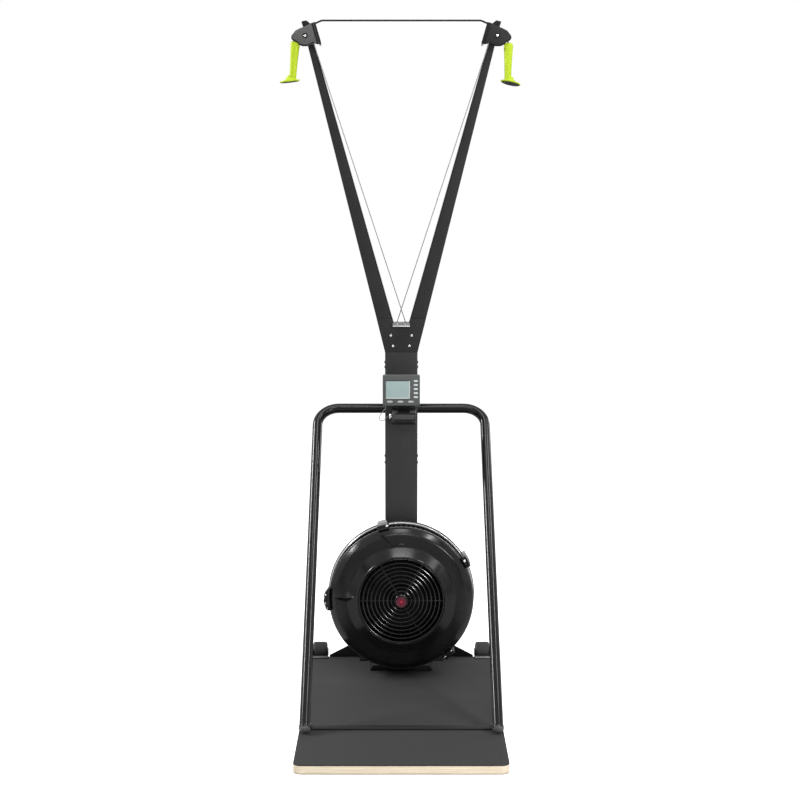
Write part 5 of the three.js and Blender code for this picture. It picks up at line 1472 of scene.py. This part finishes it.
monitorSettings = {
    "cornerRadius": 0.004, "edge": 0.0015, "seamStart": 0.019, "seamEnd": 0.0202, "seamProud": 0.0001,
    "seamEdge": 0.0004, "lipOuter": 0.004, "lipInner": 0.0002, "lipProud": 0.0012, "lipSunk": 0.0005,
    "glassInset": 0.0004, "glassSunk": 0.001, "trim": 0.0022, "trimEdge": 0.0002, "silverInset": 0.0004,
    "silverDrop": 0.002, "silverProud": 0.0008, "paintedShadeInset": 0.0002, "paintedShadeProud": 0.001,
    "screwReach": 0.052, "screwHeights": (0.008, 0.09), "screwRadius": 0.0032, "screwHeight": 0.0012,
    "smallScrewLift": 0.0062, "smallScrewRadius": 0.0014, "smallScrewHeight": 0.0005,
}

keySettings = {
    "edge": 0.0012, "cornerRadius": 0.0028, "lensShoulder": 0.24, "lensTrim": 0.08, "lensPoint": 0.0008,
    "lensRadius": 0.005,
}


def makeCase():
    # a rounded box, from the case's outline
    s = monitorSettings
    front = boxOf("monitor_case")[0][1]
    outline = roundCorners(faceOf("monitor_case", "y"), s["cornerRadius"], 8)
    case = Surfaces().fill("monitor_case", outline, "y", s["edge"], 5)
    # a dark seam divides the two half shells and a shallow lip frames the screen
    seam = inset(outline, -s["seamProud"])
    case.slab(seam, front + s["seamStart"], front + s["seamEnd"], "y", s["seamEdge"], slot=1)
    window = faceOf("monitor_screen", "y")
    outside, inside = inset(window, -s["lipOuter"]), inset(window, s["lipInner"])
    lipFront, lipBack = front - s["lipProud"], front + s["lipSunk"]
    case.grid([
        onPlane(outside, lipBack, "y"), onPlane(outside, lipFront, "y"), onPlane(inside, lipFront, "y"),
        onPlane(inside, lipBack, "y"),
    ], ring=True)
    case.build("monitor_shell", ("monitor", "plastic"), "monitor", ["monitor_case"], "monitor_shell")


def makeScreen():
    # the glass, silver trim along its right and bottom edges, and a black strip along its top edge that is
    # painted shade from the window's upper rim
    s = monitorSettings
    front = boxOf("monitor_case")[0][1]
    outline = inset(faceOf("monitor_screen", "y"), s["glassInset"])
    face = Surfaces().slab(outline, front - gap, front + s["glassSunk"], "y", s["trimEdge"])
    face.build("lcd_face", "screen", "monitor", ["monitor_screen"], "screen_face")
    (x0, _, z0), (x1, _, z1) = boxOf("monitor_screen")
    border, trim, step = Surfaces(), s["trim"], s["silverInset"]
    strips = [
        (x1 - trim, x1 - step, z0, z1 - s["silverDrop"], s["silverProud"], 0),
        (x0, x1 - step, z0 + step, z0 + trim, s["silverProud"], 0),
        # the black strip along the top edge is painted shade
        (x0, x1, z1 - trim, z1 - s["paintedShadeInset"], s["paintedShadeProud"], 1),
    ]
    for *limits, proud, slot in strips:
        border.slab(rectangle(*limits), front - proud, front, "y", s["trimEdge"], slot=slot)
    border.build("screen_border", ("silver", "plastic"), "monitor", (), "screen_face")


def makeSideKey(node):
    # a rectangle with round corners
    s = keySettings
    outline = roundCorners(faceOf(node, "y"), s["cornerRadius"], 6)
    key = Surfaces().fill(node, outline, "y", s["edge"], 4)
    key.build(f"rubber_{node}", "key", node, [node], "key_grey")


def makeLowerKey(node):
    # a lens: the sides narrow to both ends
    s = keySettings
    (x0, _, z0), (x1, _, z1) = boxOf(node)
    middle, shoulder, trim = (z0 + z1) / 2, (x1 - x0) * s["lensShoulder"], (z1 - z0) * s["lensTrim"]
    z0, z1 = z0 + trim, z1 - trim
    tip, flank = s["lensPoint"], s["lensRadius"]
    outline = roundCorners([
        (x1, middle), (x1 - shoulder, z1), (x0 + shoulder, z1), (x0, middle), (x0 + shoulder, z0),
        (x1 - shoulder, z0),
    ], (tip, flank, flank, tip, flank, flank), 4)
    key = Surfaces().fill(node, outline, "y", s["edge"], 4)
    key.build(f"rubber_{node}", "keyDim", node, [node], "key_grey")


def makeMonitorScrews():
    # a small one in front and two on the back, at each side
    s = monitorSettings
    low, high = boxOf("monitor_case")
    screws = Surfaces()
    for x in (-s["screwReach"], s["screwReach"]):
        place = (x, low[1], low[2] + s["smallScrewLift"])
        screws.bolt(place, "y", s["smallScrewRadius"], -s["smallScrewHeight"], 1)
        for z in s["screwHeights"]:
            screws.bolt((x, high[1], low[2] + z), "y", s["screwRadius"], s["screwHeight"])
    screws.build("monitor_screws", ("steel", "monitor"), "monitor", (), "steel")


# hinge

hingeSettings = {
    "radius": 0.021, "bore": 0.0063, "corner": 0.0012, "stemLeft": -0.014, "stemRight": 0.028,
    "stemFront": 0.011, "stemBack": (0.008, 0.012), "stemRoot": (-0.009, 0.0165), "stemCorner": 0.004,
    "stemEdge": 0.0015, "plateThickness": 0.005, "plateCorner": 0.006, "earSunk": 0.002,
    "bolts": ((-0.017, 0.846), (-0.017, 0.894), (0.034, 0.846), (0.034, 0.894)), "boltRadius": 0.004,
    "boltHeight": 0.0028, "pinRadius": 0.006, "knobRadius": 0.009, "knobFace": 0.007, "knobBevel": 0.002,
    "knobEnd": 0.0075, "knobNeck": 0.009, "pinChamfer": 0.001, "pinCorner": 0.0008,
}


def makeBarrel():
    # the hinge's barrel, and the stem from behind it up to the case; the stem's deep black is partly painted
    # shade under the case
    s = hingeSettings
    low, high = boxOf("monitor_neck")
    caseLow, caseHigh = boxOf("monitor_case")
    axis = middleOf("hinge_pin") * (0, 1, 1)
    section = [(s["bore"], low[0]), (s["radius"], low[0]), (s["radius"], high[0]), (s["bore"], high[0])]
    barrel = Surfaces().turnedSoft(section, s["corner"], 4, axis, "x")
    stem = roundCorners([
        (caseLow[1] + s["stemFront"], high[2]), (caseHigh[1], high[2]), axis[1:] + s["stemBack"],
        axis[1:] + s["stemRoot"],
    ], s["stemCorner"], 4)
    # the stem is real, and its deep black is partly painted shade under the case
    barrel.slab(stem, s["stemLeft"], s["stemRight"], "x", s["stemEdge"], slot=1)
    barrel.build("hinge_barrel", ("hingePlastic", "deepBlack"), "monitor", ["monitor_neck"], "black_plastic")


def makeHingeBracket():
    # a plate on the column and an ear each side of the barrel: a half circle with a straight root
    s = hingeSettings
    low, high = boxOf("monitor_bracket")
    neckLow, neckHigh = boxOf("monitor_neck")
    _, y, z = middleOf("hinge_pin")
    plateFront, earRoot = high[1] - s["plateThickness"], high[1] - s["earSunk"]
    plate = roundCorners(faceOf("monitor_bracket", "y"), s["plateCorner"], 6)
    bracket = Surfaces().slab(plate, plateFront, high[1], "y")
    angle = np.linspace(np.pi / 2, 3 * np.pi / 2, 24)
    ear = np.column_stack([y + s["radius"] * np.cos(angle), z + s["radius"] * np.sin(angle)])
    ear = np.vstack([ear, (earRoot, z - s["radius"]), (earRoot, z + s["radius"])])
    for x0, x1 in ((low[0], neckLow[0] - gap), (neckHigh[0] + gap, high[0])):
        bracket.slab(ear, x0, x1, "x", slot=2)
    for boltX, boltZ in s["bolts"]:
        bracket.bolt((boltX, plateFront, boltZ), "y", s["boltRadius"], -s["boltHeight"], 1)
    materials = ("deepBlack", "plastic", "hingePlastic")
    bracket.build("hinge_bracket", materials, root, ["monitor_bracket"], "black_paint")


def makeHingePin():
    # a turned knob and its shank
    s = hingeSettings
    start, end = (corner[0] for corner in boxOf("hinge_pin"))
    pin = Surfaces().turnedSoft([
        (pole, start), (s["knobFace"], start), (s["knobRadius"], start + s["knobBevel"]),
        (s["knobRadius"], start + s["knobEnd"]), (s["pinRadius"], start + s["knobNeck"]),
        (s["pinRadius"], end - s["pinChamfer"]), (pole, end),
    ], s["pinCorner"], 3, middleOf("hinge_pin") * (0, 1, 1), "x", 40, ring=False)
    pin.build("knob_pin", "steel", root, ["hinge_pin"], "steel")


# transport wheels

transportWheelSettings = {
    "bore": 0.0053, "boreInset": 0.002, "boreCorner": 0.0005, "faceCorner": 0.001, "shoulderCorner": 0.009,
    "treads": (-0.011, 0.0, 0.011), "treadHalf": 0.001, "treadFoot": 0.001, "treadTop": 0.0001,
}

# radius and inset of the shallow groove in each face of a wheel
wheelFaceProfile = [(0.010, 0), (0.014, 0.001), (0.0155, 0.003), (0.017, 0)]

forkSettings = {
    "thickness": 0.003, "edge": 0.0008, "earHalf": 0.013, "earCorner": 0.0115, "earRootCorner": 0.0005,
    "earStart": 0.0015, "earEdge": 0.0006, "axleRadius": 0.005, "axleEnd": 0.0005, "boltInset": 0.012,
    "boltDepth": 0.014, "boltRadius": 0.0045, "boltHeight": 0.0026, "rollLow": 0.0008, "rollHigh": 0.0062,
    "rollInset": 0.001, "rollProud": 0.0004, "rollBack": 0.0045, "rollEdge": 0.0018,
}


def makeTransportWheel(name):
    # a turned tyre, the same on both faces, with three fine tread rings
    s = transportWheelSettings
    node = f"transport_wheel_{name}"
    low, high = boxOf(node)
    centre, half, radius = (low + high) / 2, (high[0] - low[0]) / 2, (high[2] - low[2]) / 2
    face = [(s["bore"], s["boreInset"]), *wheelFaceProfile, (radius, 0)]
    profile = [(r, depth - half) for r, depth in face] + [(r, half - depth) for r, depth in reversed(face)]
    radii = (s["boreCorner"], *[s["faceCorner"]] * len(wheelFaceProfile), s["shoulderCorner"])
    wheel = Surfaces().turnedSoft(profile, radii + radii[::-1], 6, centre, "x", 72)
    for place in s["treads"]:
        wheel.turned([
            (radius - s["treadFoot"], place - s["treadHalf"]), (radius - s["treadTop"], place),
            (radius - s["treadFoot"], place + s["treadHalf"]),
        ], centre, "x", 72, ring=True)
    wheel.build(f"rubber_wheel_{name}", "tyre", node, [node], "wheel_rubber")


def makeFork(name):
    # a plate on the mat and one down the board's rear edge, two ears, an axle and a rolled front edge, whose
    # pale grey is a painted highlight
    s = forkSettings
    low, high = boxOf(f"wheel_bracket_{name}")
    _, axleDepth, axleHeight = middleOf(f"transport_wheel_{name}")
    rear = boxOf("platform_board")[1][1] + gap
    matTop = boxOf("platform_mat")[1][2]
    plateTop = matTop + gap + s["thickness"]
    fork = Surfaces()
    flat = rectangle(low[0], high[0], low[1], rear + s["thickness"])
    fork.slab(flat, matTop + gap, plateTop, "z", s["edge"])
    fork.slab(rectangle(low[0], high[0], low[2], plateTop), rear, rear + s["thickness"], "y", s["edge"])
    ear = roundCorners(
        rectangle(rear + s["earStart"], high[1], axleHeight - s["earHalf"], axleHeight + s["earHalf"]),
        (s["earRootCorner"], s["earCorner"], s["earCorner"], s["earRootCorner"]), 8)
    for x0, x1 in ((low[0], low[0] + s["thickness"]), (high[0] - s["thickness"], high[0])):
        fork.slab(ear, x0, x1, "x", s["earEdge"])
    axle = [(s["axleRadius"], low[0] + s["axleEnd"]), (s["axleRadius"], high[0] - s["axleEnd"])]
    fork.turned(axle, (0, axleDepth, axleHeight), "x", 24, slot=1)
    for x in (low[0] + s["boltInset"], high[0] - s["boltInset"]):
        fork.bolt((x, low[1] + s["boltDepth"], plateTop), "z", s["boltRadius"], s["boltHeight"], 2)
    # the rolled front edge takes the pale cup grey: a painted highlight along the plate's front edge
    roll = rectangle(
        low[0] + s["rollInset"], high[0] - s["rollInset"], matTop + s["rollLow"], matTop + s["rollHigh"])
    fork.slab(roll, low[1] - s["rollProud"], low[1] + s["rollBack"], "y", s["rollEdge"], 4, slot=3)
    materials = ("paint", "steel", "plastic", "cup")
    fork.build(f"wheel_fork_{name}", materials, root, [f"wheel_bracket_{name}"], "black_paint")


makeCase()
makeScreen()
for i in range(1, 6):
    makeSideKey(f"side_key_{i}")
for name in ("left", "middle", "right"):
    makeLowerKey(f"lower_key_{name}")
makeMonitorScrews()
makeBarrel()
makeHingeBracket()
makeHingePin()
for name in sideNames.values():
    makeTransportWheel(name)
    makeFork(name)
print("monitor, hinge and wheels made")


# finish

scene = bpy.context.scene
scene.view_settings.view_transform = "Standard"
